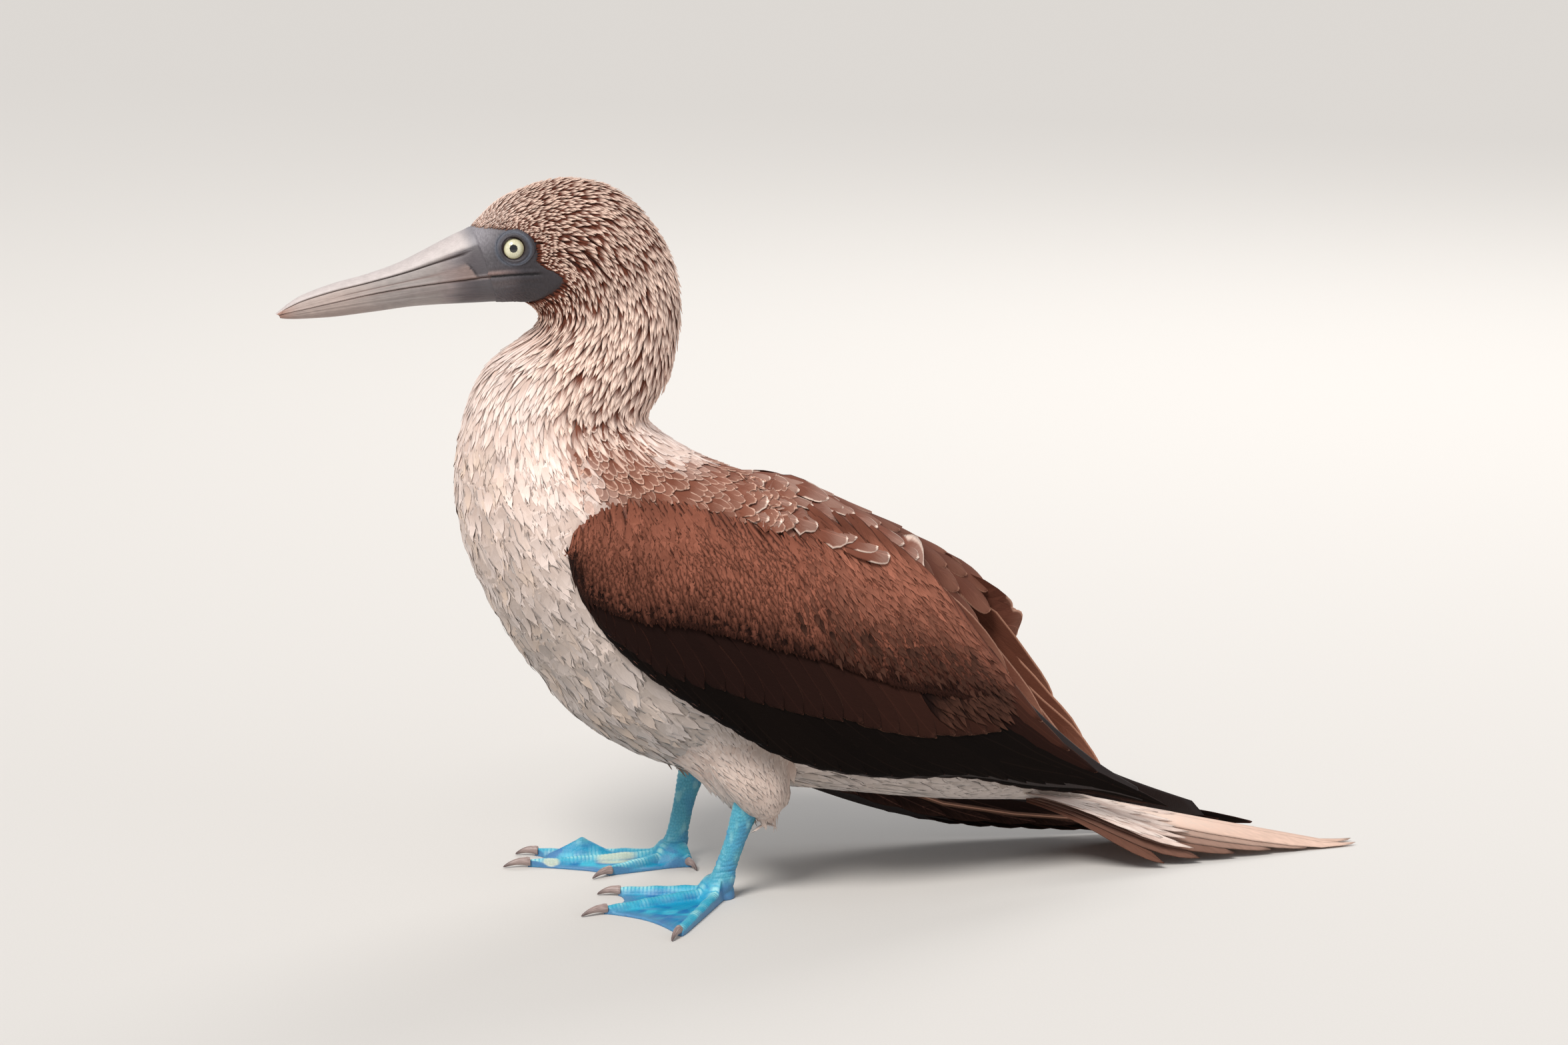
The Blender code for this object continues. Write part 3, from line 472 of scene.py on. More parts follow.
def trunk_half_width(x, z):
    """Half the trunk's width above points of its middle plane, or 0 outside it."""
    back_x, back_z, front_x, front_z, half_width = TRUNK_LINES.T
    chord_x, chord_z = back_x - front_x, back_z - front_z
    x, z = spread(x), spread(z)
    side = chord_x * (z - front_z) - chord_z * (x - front_x)
    crossed = side[..., :-1] * side[..., 1:] <= 0
    line = np.argmax(crossed, axis=-1) + 1
    reach = (x[..., 0] - front_x[line]) * chord_x[line] + (z[..., 0] - front_z[line]) * chord_z[line]
    height = 2 * reach / (chord_x[line] ** 2 + chord_z[line] ** 2) - 1
    width = half_width[line] * np.sqrt(np.maximum(1 - height ** 2, 0))
    return np.where(crossed.any(axis=-1), width, 0)


def wing_points(table, side):
    """Function from station and share of height to points on the outside of a folded wing."""
    def points(station, share):
        low_x, low_z, high_x, high_z, low_y, high_y, bulge, thickness = curves(table, station)
        x = low_x + (high_x - low_x) * share
        z = low_z + (high_z - low_z) * share
        crown = 4 * share * (1 - share)
        hanging = low_y + (high_y - low_y) * share + bulge * crown
        resting = trunk_half_width(x, z) + WING_LIFT + (thickness - WING_LIFT) * crown
        y = 0.5 * (hanging + resting + np.sqrt((hanging - resting) ** 2 + WING_ROUNDING ** 2))
        return np.stack((x, side * y, z), -1)
    return points


def wing_sheet(table, side, counts=(241, 61), **place):
    return Sheet(wing_points(table, side), (0, len(table) - 1), (0, 1), counts,
                 np.array((0, side, 0.2)), **place)


def tail_points(x, y):
    """The tail's roof, kept just above the floor."""
    ridge = TAIL_TOP[1] + TAIL_SLOPE * (x - TAIL_TOP[0])
    fall = TAIL_DROOP * ramp(x, TAIL_TOP[0], TAIL_TOP[0] + TAIL_DROOP_RAMP)
    height = ridge - fall * (np.abs(y) / TAIL_REACH) ** 1.5
    return np.stack((x, y, np.maximum(height, 1)), -1)


def thigh_points(side):
    """Function from depth, 0 at the top ring, and turn to points on a thigh."""
    def points(depth, turn):
        height, x, half_length, y, half_width = curves(THIGH[::-1], depth)
        shift_x, shift_z = THIGH_SHIFT[side]
        return np.stack((x + shift_x + half_length * np.cos(turn),
                         side * (y + half_width * np.sin(turn)), height + shift_z), -1)
    return points


# On the skin's unwrap the body takes the left part, and each side's wing, thigh and lid a strip.
STRIP_LEFT = {LEFT: 0.67, RIGHT: 0.84}
STRIP_WIDTH = 0.15
THIGH_DEPTH = len(THIGH) - 1

BODY_SHEET = Sheet(body_sheet_points, (0, BODY_END), (0, TURN), (381, 240), None, wraps=True,
                   place=(0.01, 0.01, 0.64, 0.98))
TAIL_SHEET = Sheet(tail_points, (150, 350), (-40, 40), (101, 81), np.array((0, 0, 1)))
WING_SHEET, SCAPULAR_SHEET, TERTIAL_SHEET, THIGH_SHEET = {}, {}, {}, {}
for _, side in SIDES:
    WING_SHEET[side] = wing_sheet(WING[side], side, place=(STRIP_LEFT[side], 0.01, STRIP_WIDTH, 0.5))
    SCAPULAR_SHEET[side] = wing_sheet(SCAPULARS[side], side, (81, 41))
    TERTIAL_SHEET[side] = wing_sheet(TERTIALS[side], side, (81, 41))
    THIGH_SHEET[side] = Sheet(thigh_points(side), (0, THIGH_DEPTH), (0, TURN), (61, 60), None,
                              wraps=True, place=(STRIP_LEFT[side], 0.74, STRIP_WIDTH, 0.1))


# ---------------------------------------------------------------- vanes

# Half-width of a vane at shares of its length, as a share of its greatest.
LANCE = ((0, 0.35), (0.25, 0.85), (0.5, 1), (0.78, 0.68), (1, 0.14))
LOCK = ((0, 0.35), (0.2, 0.75), (0.42, 1), (0.65, 0.9), (0.85, 0.6), (1, 0.3))

ROUND = ((0, 0.35), (0.2, 0.75), (0.42, 0.95), (0.6, 1), (0.74, 0.98), (0.82, 0.91),
         (0.89, 0.78), (0.94, 0.62), (0.975, 0.42), (1, 0.14))
PLUME = ((0, 0.3), (0.1, 0.62), (0.22, 0.86), (0.36, 0.97), (0.5, 1), (0.62, 1), (0.74, 0.96),
         (0.84, 0.85), (0.91, 0.68), (0.96, 0.45), (1, 0.16))
WISP = ((0, 0.4), (0.2, 0.8), (0.42, 1), (0.65, 0.88), (0.85, 0.52), (1, 0.10))
BLADE = ((0, 0.3), (0.1, 0.6), (0.25, 0.85), (0.4, 1), (0.55, 1), (0.68, 0.92), (0.8, 0.74),
         (0.9, 0.48), (0.96, 0.27), (1, 0.08))


def straight_paths(sheet, u, v, direction, length, outline, bend=0, from_tip=False):
    """Paths over a sheet, one a vane, from its root or back from its tip."""
    _, normal, du, dv = sheet.read(u, v)
    direction = unit(direction - normal * spread(dot(direction, normal)))
    forward = steps(du, dv, direction)
    sideways = steps(du, dv, np.cross(normal, direction))
    t = np.array([row[0] for row in outline])
    along = spread(length) * (t - 1 if from_tip else t)
    aside = spread(bend) * spread(length) * (t * t - (1 if from_tip else 0))
    return [spread(start) + along * spread(f) + aside * spread(s)
            for start, f, s in zip((u, v), forward, sideways)]


SMALL_PATCH = (0.0015, 0.003)     # half-width and length of a small vane's patch of the unwrap
LARGE_PATCH = (0.46, 0.92)        # the same of a large vane's, as shares of its cell
PATCH_START = (0.5, 0.04)         # where in its cell a large vane's root lies
FLOOR_GAP = 0.15                  # no feather comes closer to the floor


def lay_vanes(sheet, paths, outline, width, lift, columns, colours, crown=0, arc=0, jag=0,
              tilt=0, cell=None):
    """Closed thin vanes laid along paths over a sheet.

    width is the greatest full width of each; lift holds the heights of root and tip over the
    sheet; arc draws a tip's corners back and jag splits it, both as shares of the width. A small
    vane's patch of the unwrap lies at its root; cell gives large ones a share of the whole map,
    as the first vane's number and how many vanes the map holds.
    """
    count, rows = paths[0].shape
    t, profile = np.array(outline).T
    half = np.broadcast_to(spread(width) / 2 * profile, (count, rows))
    points, normal, du, dv = sheet.read(*paths)
    tangent = unit(np.gradient(points, axis=1))
    length = np.linalg.norm(np.diff(points, axis=1), axis=-1).sum(1)
    sideways = steps(du, dv, np.cross(normal, tangent))
    forward = steps(du, dv, tangent)
    x = np.linspace(-1, 1, columns)
    aside = spread(half) * x
    ragged = RANDOM.uniform(-1, 1, (count, columns)) + np.where(np.arange(columns) % 2 == 1, 0.6, -0.6)
    reach = (ragged * spread(jag) - spread(arc) * x ** 2) * spread(width)
    ahead = (t ** 5)[None, :, None] * reach[:, None, :]
    u, v = (spread(path) + aside * spread(s) + ahead * spread(f)
            for path, s, f in zip(paths, sideways, forward))
    points, normal, _, _ = sheet.read(u, v)
    low, high, dome = (np.broadcast_to(np.asarray(value, float), (count,))[:, None, None]
                       for value in (*lift, crown))
    every = np.ones((count, rows, columns))
    across, down = x * every, t[None, :, None] * every
    height = low + (high - low) * down + (1 - x ** 2) * dome + tilt * aside
    vane = np.stack((across, down, RANDOM.random(count)[:, None, None] * every), -1)
    barb = np.stack((aside, down * length[:, None, None] + ahead, spread(half) * every), -1)
    if cell is None:
        patch, span = sheet.unwrap(paths[0][:, 0], paths[1][:, 0]), SMALL_PATCH
    else:
        first, total = cell
        cells_across = math.ceil(math.sqrt(total))
        number = first + np.arange(count)
        span = np.array(LARGE_PATCH) / cells_across
        place = np.stack((number % cells_across, number // cells_across), -1)
        patch = (place + PATCH_START) / cells_across
    root, tip = (np.broadcast_to(np.broadcast_to(colour, (count, 3))[:, None, None], points.shape)
                 for colour in colours)
    return {"points": points + normal * spread(height), "vane": vane, "barb": barb,
            "uv": patch[:, None, None] + np.stack((across, down), -1) * span,
            "root": root, "tip": tip, "normal": normal[0, 0, 0]}


def grid_faces(rows, columns, wraps=False):
    """Quads between the points of a grid; columns may join up round a tube."""
    index = np.arange(rows * columns).reshape(rows, columns)
    following = np.roll(index, -1, axis=1)
    if not wraps:
        index, following = index[:, :-1], following[:, :-1]
    return np.stack((index[:-1], following[:-1], following[1:], index[1:]), -1).reshape(-1, 4)


def tube_faces(rows, columns):
    """Quads round a tube of rings, and the faces that close its first and last ring."""
    index = np.arange(rows * columns).reshape(rows, columns)
    return [grid_faces(rows, columns, wraps=True), index[:1, ::-1], index[-1:]]


def vane_faces(batch):
    """Quads of the tops, quads of the flat undersides and the end caps of a batch's vanes."""
    count, rows, columns = batch["points"].shape[:3]
    r, c = all_pairs(np.arange(rows - 1), np.arange(columns - 1))
    a = (r * columns + c).ravel()
    top = np.stack((a, a + 1, a + columns + 1, a + columns), -1)
    first = np.arange(rows - 1) * columns
    under = np.stack((first, first + columns, first + 2 * columns - 1, first + columns - 1), -1)
    caps = np.stack((np.arange(columns)[::-1], (rows - 1) * columns + np.arange(columns)))
    corner = batch["points"][0].reshape(-1, 3)
    face = corner[top[0]]
    if dot(np.cross(face[1] - face[0], face[3] - face[0]), batch["normal"]) < 0:
        top, under, caps = top[:, ::-1], under[:, ::-1], caps[:, ::-1]
    shift = (np.arange(count) * rows * columns)[:, None, None]
    return [(faces[None] + shift).reshape(-1, faces.shape[1]) for faces in (top, under, caps)]


ATTRIBUTE_KINDS = {1: ("FLOAT", "value"), 3: ("FLOAT_VECTOR", "vector"), 4: ("FLOAT_COLOR", "color")}


def make_outward(mesh):
    surface = bmesh.new()
    surface.from_mesh(mesh)
    bmesh.ops.recalc_face_normals(surface, faces=surface.faces)
    surface.to_mesh(mesh)
    surface.free()


def put_mesh(name, points, faces, attributes=(), uv=None, smooth=None, outward=False):
    """An object from arrays: faces is a list of index arrays, smooth a flag for each, at first on.

    attributes gives values to the points, one, three or four a point, and uv is the OFBake map.
    """
    mesh = bpy.data.meshes.new(name)
    loops = np.concatenate([f.ravel() for f in faces]).astype(np.int32)
    sizes = np.concatenate([np.full(len(f), f.shape[1]) for f in faces])
    mesh.vertices.add(len(points))
    mesh.vertices.foreach_set("co", to_frame(points).astype(np.float32).ravel())
    mesh.loops.add(len(loops))
    mesh.loops.foreach_set("vertex_index", loops)
    mesh.polygons.add(len(sizes))
    mesh.polygons.foreach_set("loop_start", (np.cumsum(sizes) - sizes).astype(np.int32))
    mesh.update(calc_edges=True)
    flags = zip(faces, smooth or [True] * len(faces))
    mesh.polygons.foreach_set("use_smooth", np.concatenate([np.full(len(f), flag) for f, flag in flags]))
    for key, values in dict(attributes).items():
        kind, field = ATTRIBUTE_KINDS[np.size(values) // len(points)]
        layer = mesh.attributes.new(key, kind, "POINT")
        layer.data.foreach_set(field, np.asarray(values, np.float32).ravel())
    if uv is not None:
        layer = mesh.uv_layers.new(name="OFBake")
        layer.uv.foreach_set("vector", uv[loops].astype(np.float32).ravel())
    mesh.validate()
    if outward:
        make_outward(mesh)
    item = bpy.data.objects.new(name, mesh)
    bpy.context.scene.collection.objects.link(item)
    return item


def make_coat(name, batches, material, replaced=()):
    """One piece of joined vanes from several batches."""
    faces, start = [], 0
    for batch in batches:
        faces += [f + start for f in vane_faces(batch)]
        start += batch["vane"][..., 0].size

    def joined(key, width=3):
        return np.concatenate([batch[key].reshape(-1, width) for batch in batches])

    points = joined("points")
    points[:, 2] = np.maximum(points[:, 2], FLOOR_GAP)
    attributes = {"vane": joined("vane"), "barb": joined("barb"),
                  "root_colour": opaque(joined("root")), "tip_colour": opaque(joined("tip"))}
    item = put_mesh(name, points, faces, attributes, joined("uv", 2), [True, False, False] * len(batches))
    return finish_piece(item, material, replaced)


def finish_piece(item, material, replaced=()):
    """Gives a piece its material, hides the solids that it replaces and hangs it under the root body."""
    item.data.materials.append(material)
    if replaced:
        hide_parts(*replaced)
    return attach(item, "root")


def scatter(sheet, u_span, v_span, gaps, wander=0.25):
    """Roots spread evenly over part of a sheet in staggered rows.

    gaps is the distance between them across and along, or a function of u that gives both.
    """
    found_u, found_v = [], []
    u, row = u_span[0], 0
    v_line = np.linspace(*v_span, 241)
    while u < u_span[1]:
        gap_across, gap_along = gaps(u) if callable(gaps) else gaps
        _, _, du, dv = sheet.read(np.full_like(v_line, u), v_line)
        stretch = np.linalg.norm(du, axis=-1)
        width = np.linalg.norm(dv, axis=-1)
        arc = np.concatenate(((0,), np.cumsum((width[1:] + width[:-1]) / 2) * (v_line[1] - v_line[0])))
        count = max(int(arc[-1] / gap_across), 1)
        spots = (np.arange(count) + 0.5 * (row % 2) + RANDOM.uniform(-wander, wander, count)) / count
        v = np.interp(spots * arc[-1], arc, v_line)
        kept = RANDOM.random(count) < np.interp(v, v_line, stretch / stretch.max()) * 1.15
        row_step = gap_along / stretch.max()
        found_u.append((u + RANDOM.uniform(-wander, wander, count) * row_step)[kept])
        found_v.append(v[kept])
        u += row_step
        row += 1
    return np.concatenate(found_u), np.concatenate(found_v)


# ---------------------------------------------------------------- shader graphs

class Shader:
    """A Principled material whose colour and bump are built from nodes."""

    def __init__(self, name, **constants):
        self.material = bpy.data.materials.new(name)
        self.material.use_nodes = True
        self.tree = self.material.node_tree
        self.principled = self.tree.nodes["Principled BSDF"]
        for key, value in constants.items():
            self.principled.inputs[key.replace("_", " ")].default_value = value

    def node(self, kind, inputs=(), **settings):
        node = self.tree.nodes.new("ShaderNode" + kind)
        for key, value in settings.items():
            setattr(node, key, value)
        for key, value in dict(inputs).items():
            if isinstance(value, bpy.types.NodeSocket):
                self.tree.links.new(value, node.inputs[key])
            elif isinstance(value, tuple) and len(value) == 3 and node.inputs[key].type == "RGBA":
                node.inputs[key].default_value = (*value, 1)
            else:
                node.inputs[key].default_value = value
        return node

    def attribute(self, name, output="Vector"):
        return self.node("Attribute", attribute_name=name).outputs[output]

    def parts(self, vector):
        return self.node("SeparateXYZ", {0: vector}).outputs

    def math(self, operation, a, b=0, c=0):
        return self.node("Math", {0: a, 1: b, 2: c}, operation=operation).outputs[0]

    def step(self, value, low, high, start=0, end=1):
        return self.node("MapRange", {0: value, 1: low, 2: high, 3: start, 4: end},
                         interpolation_type="SMOOTHSTEP").outputs[0]

    def mix(self, share, a, b, how="MIX"):
        return self.node("Mix", {0: share, 6: a, 7: b}, data_type="RGBA", blend_type=how).outputs[2]

    def times(self, a, b):
        return self.math("MULTIPLY", a, b)

    def around(self, value, amount, middle=1):
        """A value from 0 to 1 as a wander of so much in all round a middle."""
        return self.math("MULTIPLY_ADD", self.math("SUBTRACT", value, 0.5), amount, middle)

    def lit(self, colour, light):
        """A colour made lighter or darker by a factor."""
        tint = self.node("CombineColor", {0: light, 1: light, 2: light}).outputs[0]
        return self.mix(1, colour, tint, "MULTIPLY")

    def noise(self, vector, scale, detail=3, roughness=0.55):
        return self.node("TexNoise", {"Vector": vector, "Scale": scale, "Detail": detail,
                                      "Roughness": roughness}).outputs["Fac"]

    def vector(self, x, y, z):
        return self.node("CombineXYZ", {0: x, 1: y, 2: z}).outputs[0]

    def position(self):
        """The point in millimetres in the frame, the same at every view."""
        place = self.node("NewGeometry").outputs["Position"]
        return self.node("VectorMath", {0: place, 3: 1 / MM}, operation="SCALE").outputs[0]

    def finish(self, colour, height=None, depth=0, roughness=None):
        self.tree.links.new(colour, self.principled.inputs["Base Color"])
        if height is not None:
            node = self.node("Bump", {"Height": height, "Strength": 1, "Distance": depth * MM})
            self.tree.links.new(node.outputs[0], self.principled.inputs["Normal"])
        if roughness is not None:
            self.tree.links.new(roughness, self.principled.inputs["Roughness"])
        return self.material


def plumage(name, fringe=(0.97, 1.5), streaks=0.2, streak_size=0.4, shaft=0, edge=0, barb_depth=0.10,
            tone=0.12, roughness=0.8, sheen=0, specular=0.08, halo=0, angle=14, ragged=0.5, rim=None):
    """Feather vanes: root colour into tip colour, barbs at an angle from the shaft, and the shaft.

    fringe is where along the vane the tip colour starts and is full; ragged frays it and edge
    adds it at the sides; halo is how much of it shows softly before the fringe. rim draws the
    tip colour round the feather's end: how far in from its border it is full and gone, in
    millimetres, and from which share of the length on. streaks and tone are how much single
    barbs and whole vanes differ in lightness.
    """
    s = Shader(name, Roughness=roughness, Sheen_Weight=sheen, Sheen_Roughness=0.5,
               Specular_IOR_Level=specular)
    x, t, shade = s.parts(s.attribute("vane"))
    aside, along, half = s.parts(s.attribute("barb"))
    seed = s.times(shade, 100)
    off = s.math("ABSOLUTE", aside)
    lean = math.radians(angle)
    slant = s.math("MULTIPLY_ADD", off, -math.cos(lean), s.times(along, math.sin(lean)))
    run = s.math("MULTIPLY_ADD", off, math.sin(lean), s.times(along, math.cos(lean)))
    streak = s.noise(s.vector(s.times(slant, 1 / streak_size), s.times(run, 0.15), seed), 1, 2, 0.6)
    wide = s.math("POWER", s.math("ABSOLUTE", x), 4)
    place = s.math("MULTIPLY_ADD", wide, edge, s.around(streak, ragged, t))
    share = s.step(place, *fringe)
    if rim:
        full, gone, start = rim
        before = s.math("MAXIMUM", s.math("SUBTRACT", start, t), 0)
        side_gap = s.math("MULTIPLY_ADD", before, 24, s.math("SUBTRACT", half, off))
        left_over = s.math("DIVIDE", s.math("SUBTRACT", 1, t), s.math("MAXIMUM", t, 0.05))
        nearer = s.math("MINIMUM", side_gap, s.times(along, left_over))
        gap = s.around(streak, ragged * 3, nearer)
        share = s.math("MAXIMUM", share, s.step(gap, full, gone, 1, 0))
    if halo:
        share = s.math("MAXIMUM", share, s.step(place, fringe[0] - 0.4, fringe[0], 0, halo))
    colour = s.mix(share, s.attribute("root_colour", "Color"), s.attribute("tip_colour", "Color"))
    light = s.around(shade, tone, s.around(streak, streaks))
    if shaft:
        light = s.math("MULTIPLY_ADD", s.step(off, 0.12, 0.4, 1, 0), shaft, light)
    height = s.math("ADD", streak, s.noise(s.vector(s.times(slant, 4), off, seed), 1, 1))
    return s.finish(s.lit(colour, light), height, barb_depth)


# ---------------------------------------------------------------- colours by place

def white_front(station, high):
    """Share of white in the coat of neck and trunk; high is 1 at the back and -1 in front."""
    edge = np.interp(station, (3, 4, 5.5, 6.3, 7.3, 8.3, 9, 10.1, 10.6, 12, 19),
                     (-1.5, -1.02, -0.82, -0.60, -0.28, -0.10, 0.02, 0.06, 0.10, 0.25, 0.6))
    return ramp(high, edge + 0.14, edge - 0.26)


def hindneck(station, high):
    """Share of the pale patch low on the back of the neck."""
    return ramp(station, 7.9, 8.4) * ramp(station, 10.3, 9.5) * ramp(high, 0.62, 0.82)


def body_colours(station, turn, points):
    """Root and tip colours of the body's coat at its stations, with painted shade low on the belly and
    under the clumps' edges, and painted light on the breast's sides.
    """
    high = np.cos(turn)
    wobble = 0.07 * waves(points, 16, 1) + RANDOM.uniform(-0.12, 0.12, np.shape(station))
    down = ramp(station, 1, 6.5)
    root, tip = blend(CROWN_ROOT, NECK_ROOT, down), blend(CROWN_TIP, NECK_TIP, down)
    throat = ramp(station, 0.3, 1.2) * ramp(station, 3.4, 2.2) * ramp(high, -0.45, -0.85)
    root, tip = blend(root, MANTLE_ROOT, 0.6 * throat), blend(tip, MANTLE_TIP, 0.5 * throat)
    forehead = 0.7 * ramp(station, 1.8, 0.2) * ramp(high, 0.2, 0.9)
    root, tip = blend(root, CROWN_TIP, 0.5 * forehead), blend(tip, WHITE_TIP, forehead)
    mantle = ramp(station + wobble, 8, 9.2) * ramp(high + wobble, -0.20, 0.02)
    mantle_tip = blend(NECK_TIP, MANTLE_TIP, ramp(station + wobble, 8.2, 9.8))
    root, tip = blend(root, MANTLE_ROOT, mantle), blend(tip, mantle_tip, mantle)
    # Lower on the trunk the white greys into the belly's colours: painted shade, as for a belly turned away
    # from the light.
    belly = ramp(points[..., 2], 275, 120)
    pale_root, pale_tip = blend(WHITE_ROOT, BELLY_SHADE_ROOT, belly), blend(WHITE_TIP, BELLY_SHADE_TIP, belly)
    breast = clump_share(station, turn)
    buff = 0.4 * breast * ramp(high, -0.45, -0.9) * ramp(waves(points, 13, 54), -0.1, 0.9)
    pale_tip = blend(pale_tip, BUFF, buff)
    white = np.maximum(white_front(station, high + wobble), hindneck(station, high + wobble))
    white = np.maximum(white, ramp(station, 15.5, 17))
    tone = 1 + 0.07 * waves(points, 22, 2) + 0.05 * waves(points, 8, 6) + 0.16 * hindneck(station, high)
    # On breast and belly the tone is lighter at each clump's edge and darker just behind it, and darker at
    # the very front than on the sides: painted shade under the clumps' edges, and painted light on the
    # sides.
    clumps = 0.14 * clump_rise(station, turn, points) + 0.24 * ramp(high, -0.98, -0.3) - 0.136
    tone = tone + breast * clumps
    return blend(root, pale_root, white) * spread(tone), blend(tip, pale_tip, white) * spread(tone)


# ---------------------------------------------------------------- the bare face's outline

def side_distance(x, z):
    """Distance from the edge of the bare face seen from the side, positive on the bare part."""
    x, z = spread(x), spread(z)
    edge = np.array(MASK_EDGE)
    (x1, z1), (x2, z2) = edge[:-1].T, edge[1:].T
    run_x, run_z = x2 - x1, z2 - z1
    share = np.clip(((x - x1) * run_x + (z - z1) * run_z) / (run_x ** 2 + run_z ** 2), 0, 1)
    distance = np.hypot(x - x1 - share * run_x, z - z1 - share * run_z).min(-1)
    loop = np.concatenate((edge, MASK_FRONT))
    (x1, z1), (x2, z2) = loop.T, np.roll(loop, -1, axis=0).T
    spans = (z1 > z) != (z2 > z)
    crossing = x < (x2 - x1) * (z - z1) / np.where(z2 == z1, 1e-9, z2 - z1) + x1
    inside = (spans & crossing).sum(-1) % 2 == 1
    return np.where(inside, distance, -distance)


# ---------------------------------------------------------------- coat of head, neck and trunk

COVER_CELL = 6     # side of the squares by which the wings' cover is looked up


def hidden_by_wing(points):
    """Whether body points lie well under a folded wing, seen from the side."""
    hidden = np.zeros(len(points), bool)
    for side in (LEFT, RIGHT):
        cover, _, _, _ = WING_SHEET[side].read(*all_pairs(np.linspace(0.8, 9, 120),
                                                          np.linspace(0.12, 0.86, 40)))
        covered = {tuple(square) for square in cover.reshape(-1, 3)[:, ::2] // COVER_CELL}
        under = np.array([tuple(square) in covered for square in points[:, ::2] // COVER_CELL])
        hidden |= under & (points[:, 1] * side > 12)
    return hidden


def body_batch(u_span, outline, columns, jag, arc, chosen=None, size=1, crown=0.14, table=COAT):
    """Vanes of the body's coat between two stations, where chosen allows them."""
    def gaps(u):
        return [float(table_value(table, u, column)) * size for column in (1, 2)]

    u, v = scatter(BODY_SHEET, u_span, (0, TURN), gaps)
    points, normal, du, _ = BODY_SHEET.read(u, v)
    bare = side_distance(points[:, 0], points[:, 2])
    kept = (bare < 0) & ~hidden_by_wing(points)
    if chosen is not None:
        kept &= chosen(u, v, points)
    u, v, points, normal, du, bare = only(kept, u, v, points, normal, du, bare)
    length, width, depth, stand = (table_value(table, u, column) for column in (3, 4, 5, 6))
    near = ramp(-bare, 0, 9)
    length = length * (0.55 + 0.45 * near) * RANDOM.uniform(0.8, 1.2, len(u)) * size
    width = width * (0.7 + 0.3 * near) * RANDOM.uniform(0.8, 1.2, len(u)) * size
    turn = spread(RANDOM.normal(0, 0.06, len(u)) + 0.10 * waves(points, 24, 7))
    direction = unit(du) * np.cos(turn) + np.cross(normal, unit(du)) * np.sin(turn)
    paths = straight_paths(BODY_SHEET, u, v, direction, length, outline, RANDOM.normal(0, 0.06, len(u)))
    seen = u + 0.6 * length / np.linalg.norm(du, axis=-1)
    colours = body_colours(seen, v, points)
    front = ramp(np.cos(v), 0.1, -0.7) * ramp(u, 3.6, 5)
    smooth = 1 - 0.6 * np.maximum(white_front(u, np.cos(v)), front)
    depth = depth * (0.25 + 0.75 * near) * (0.5 + 0.5 * smooth)
    stand = stand * RANDOM.uniform(0.2, 1.6, len(u)) * (0.3 + 0.7 * near) * smooth
    if table is COAT:
        stand = stand + 0.8 * clump_share(seen, v) * clump_rise(seen, v, points) ** 3
    return lay_vanes(BODY_SHEET, paths, outline, width, (-depth, stand), columns, colours,
                     crown=crown * width * smooth, arc=arc, jag=jag)


MASK_NEAR = 7      # how far from the bare face's edge the extra small feathers lie


def back_of(u, v, points):
    """Whether places of the body belong to the mantle; the next three functions choose places too."""
    return np.cos(v) > np.interp(u, (7.8, 8.6, 9, 10.5, 12, 15), (0.2, -0.06, -0.01, 0.05, 0, 0.1))


def front_of(u, v, points):
    return ~back_of(u, v, points)


def above_mantle(u, v, points):
    return (u < 8.2) | front_of(u, v, points)


def near_mask(u, v, points):
    return side_distance(points[:, 0], points[:, 2]) > -MASK_NEAR


def make_body_coat():
    head = plumage("head_feathers", (0.50, 0.92), streaks=0.3, streak_size=0.3, angle=12, ragged=0.35)
    neck = plumage("neck_feathers", (0.40, 0.88), streaks=0.3, streak_size=0.35, tone=0.10, sheen=0.1,
                   angle=10, ragged=0.35)
    breast = plumage("breast_feathers", (0.2, 1), streaks=0.12, tone=0.02, barb_depth=0.06, sheen=0.25,
                     angle=12)
    mantle = plumage("mantle_feathers", halo=0.16, angle=22, ragged=0.35, rim=(0.1, 1.5, 0.72))
    make_coat("coat_head", [body_batch((0, 4), LANCE, 5, 0.06, 0.1),
                            body_batch((0, 4), LANCE, 3, 0, 0.1, near_mask, 0.75)],
              head)
    make_coat("coat_neck", [body_batch((4, 8.7), WISP, 5, 0.06, 0.2, above_mantle)],
              neck)
    for name, span in (("coat_breast", (8.5, 12.4)), ("coat_belly", (12.4, 19))):
        make_coat(name, [body_batch(span, WISP, 5, 0.08, 0.2, front_of, crown=0.008)],
                  breast)
    make_coat("coat_mantle", [body_batch((7.9, 19), ROUND, 9, 0.03, 0.05, back_of, crown=0.05,
                                         table=MANTLE_COAT)], mantle)


# ---------------------------------------------------------------- wings

def down_back(angle):
    """Directions seen from the side, in degrees below level towards the tail."""
    angle = np.radians(angle)
    return np.stack((np.cos(angle), np.zeros_like(angle), -np.sin(angle)), -1)


def covert_angle(station):
    return np.interp(station, (0, 1, 2, 4.5, 7.5, 10), (68, 80, 84, 78, 46, 22))


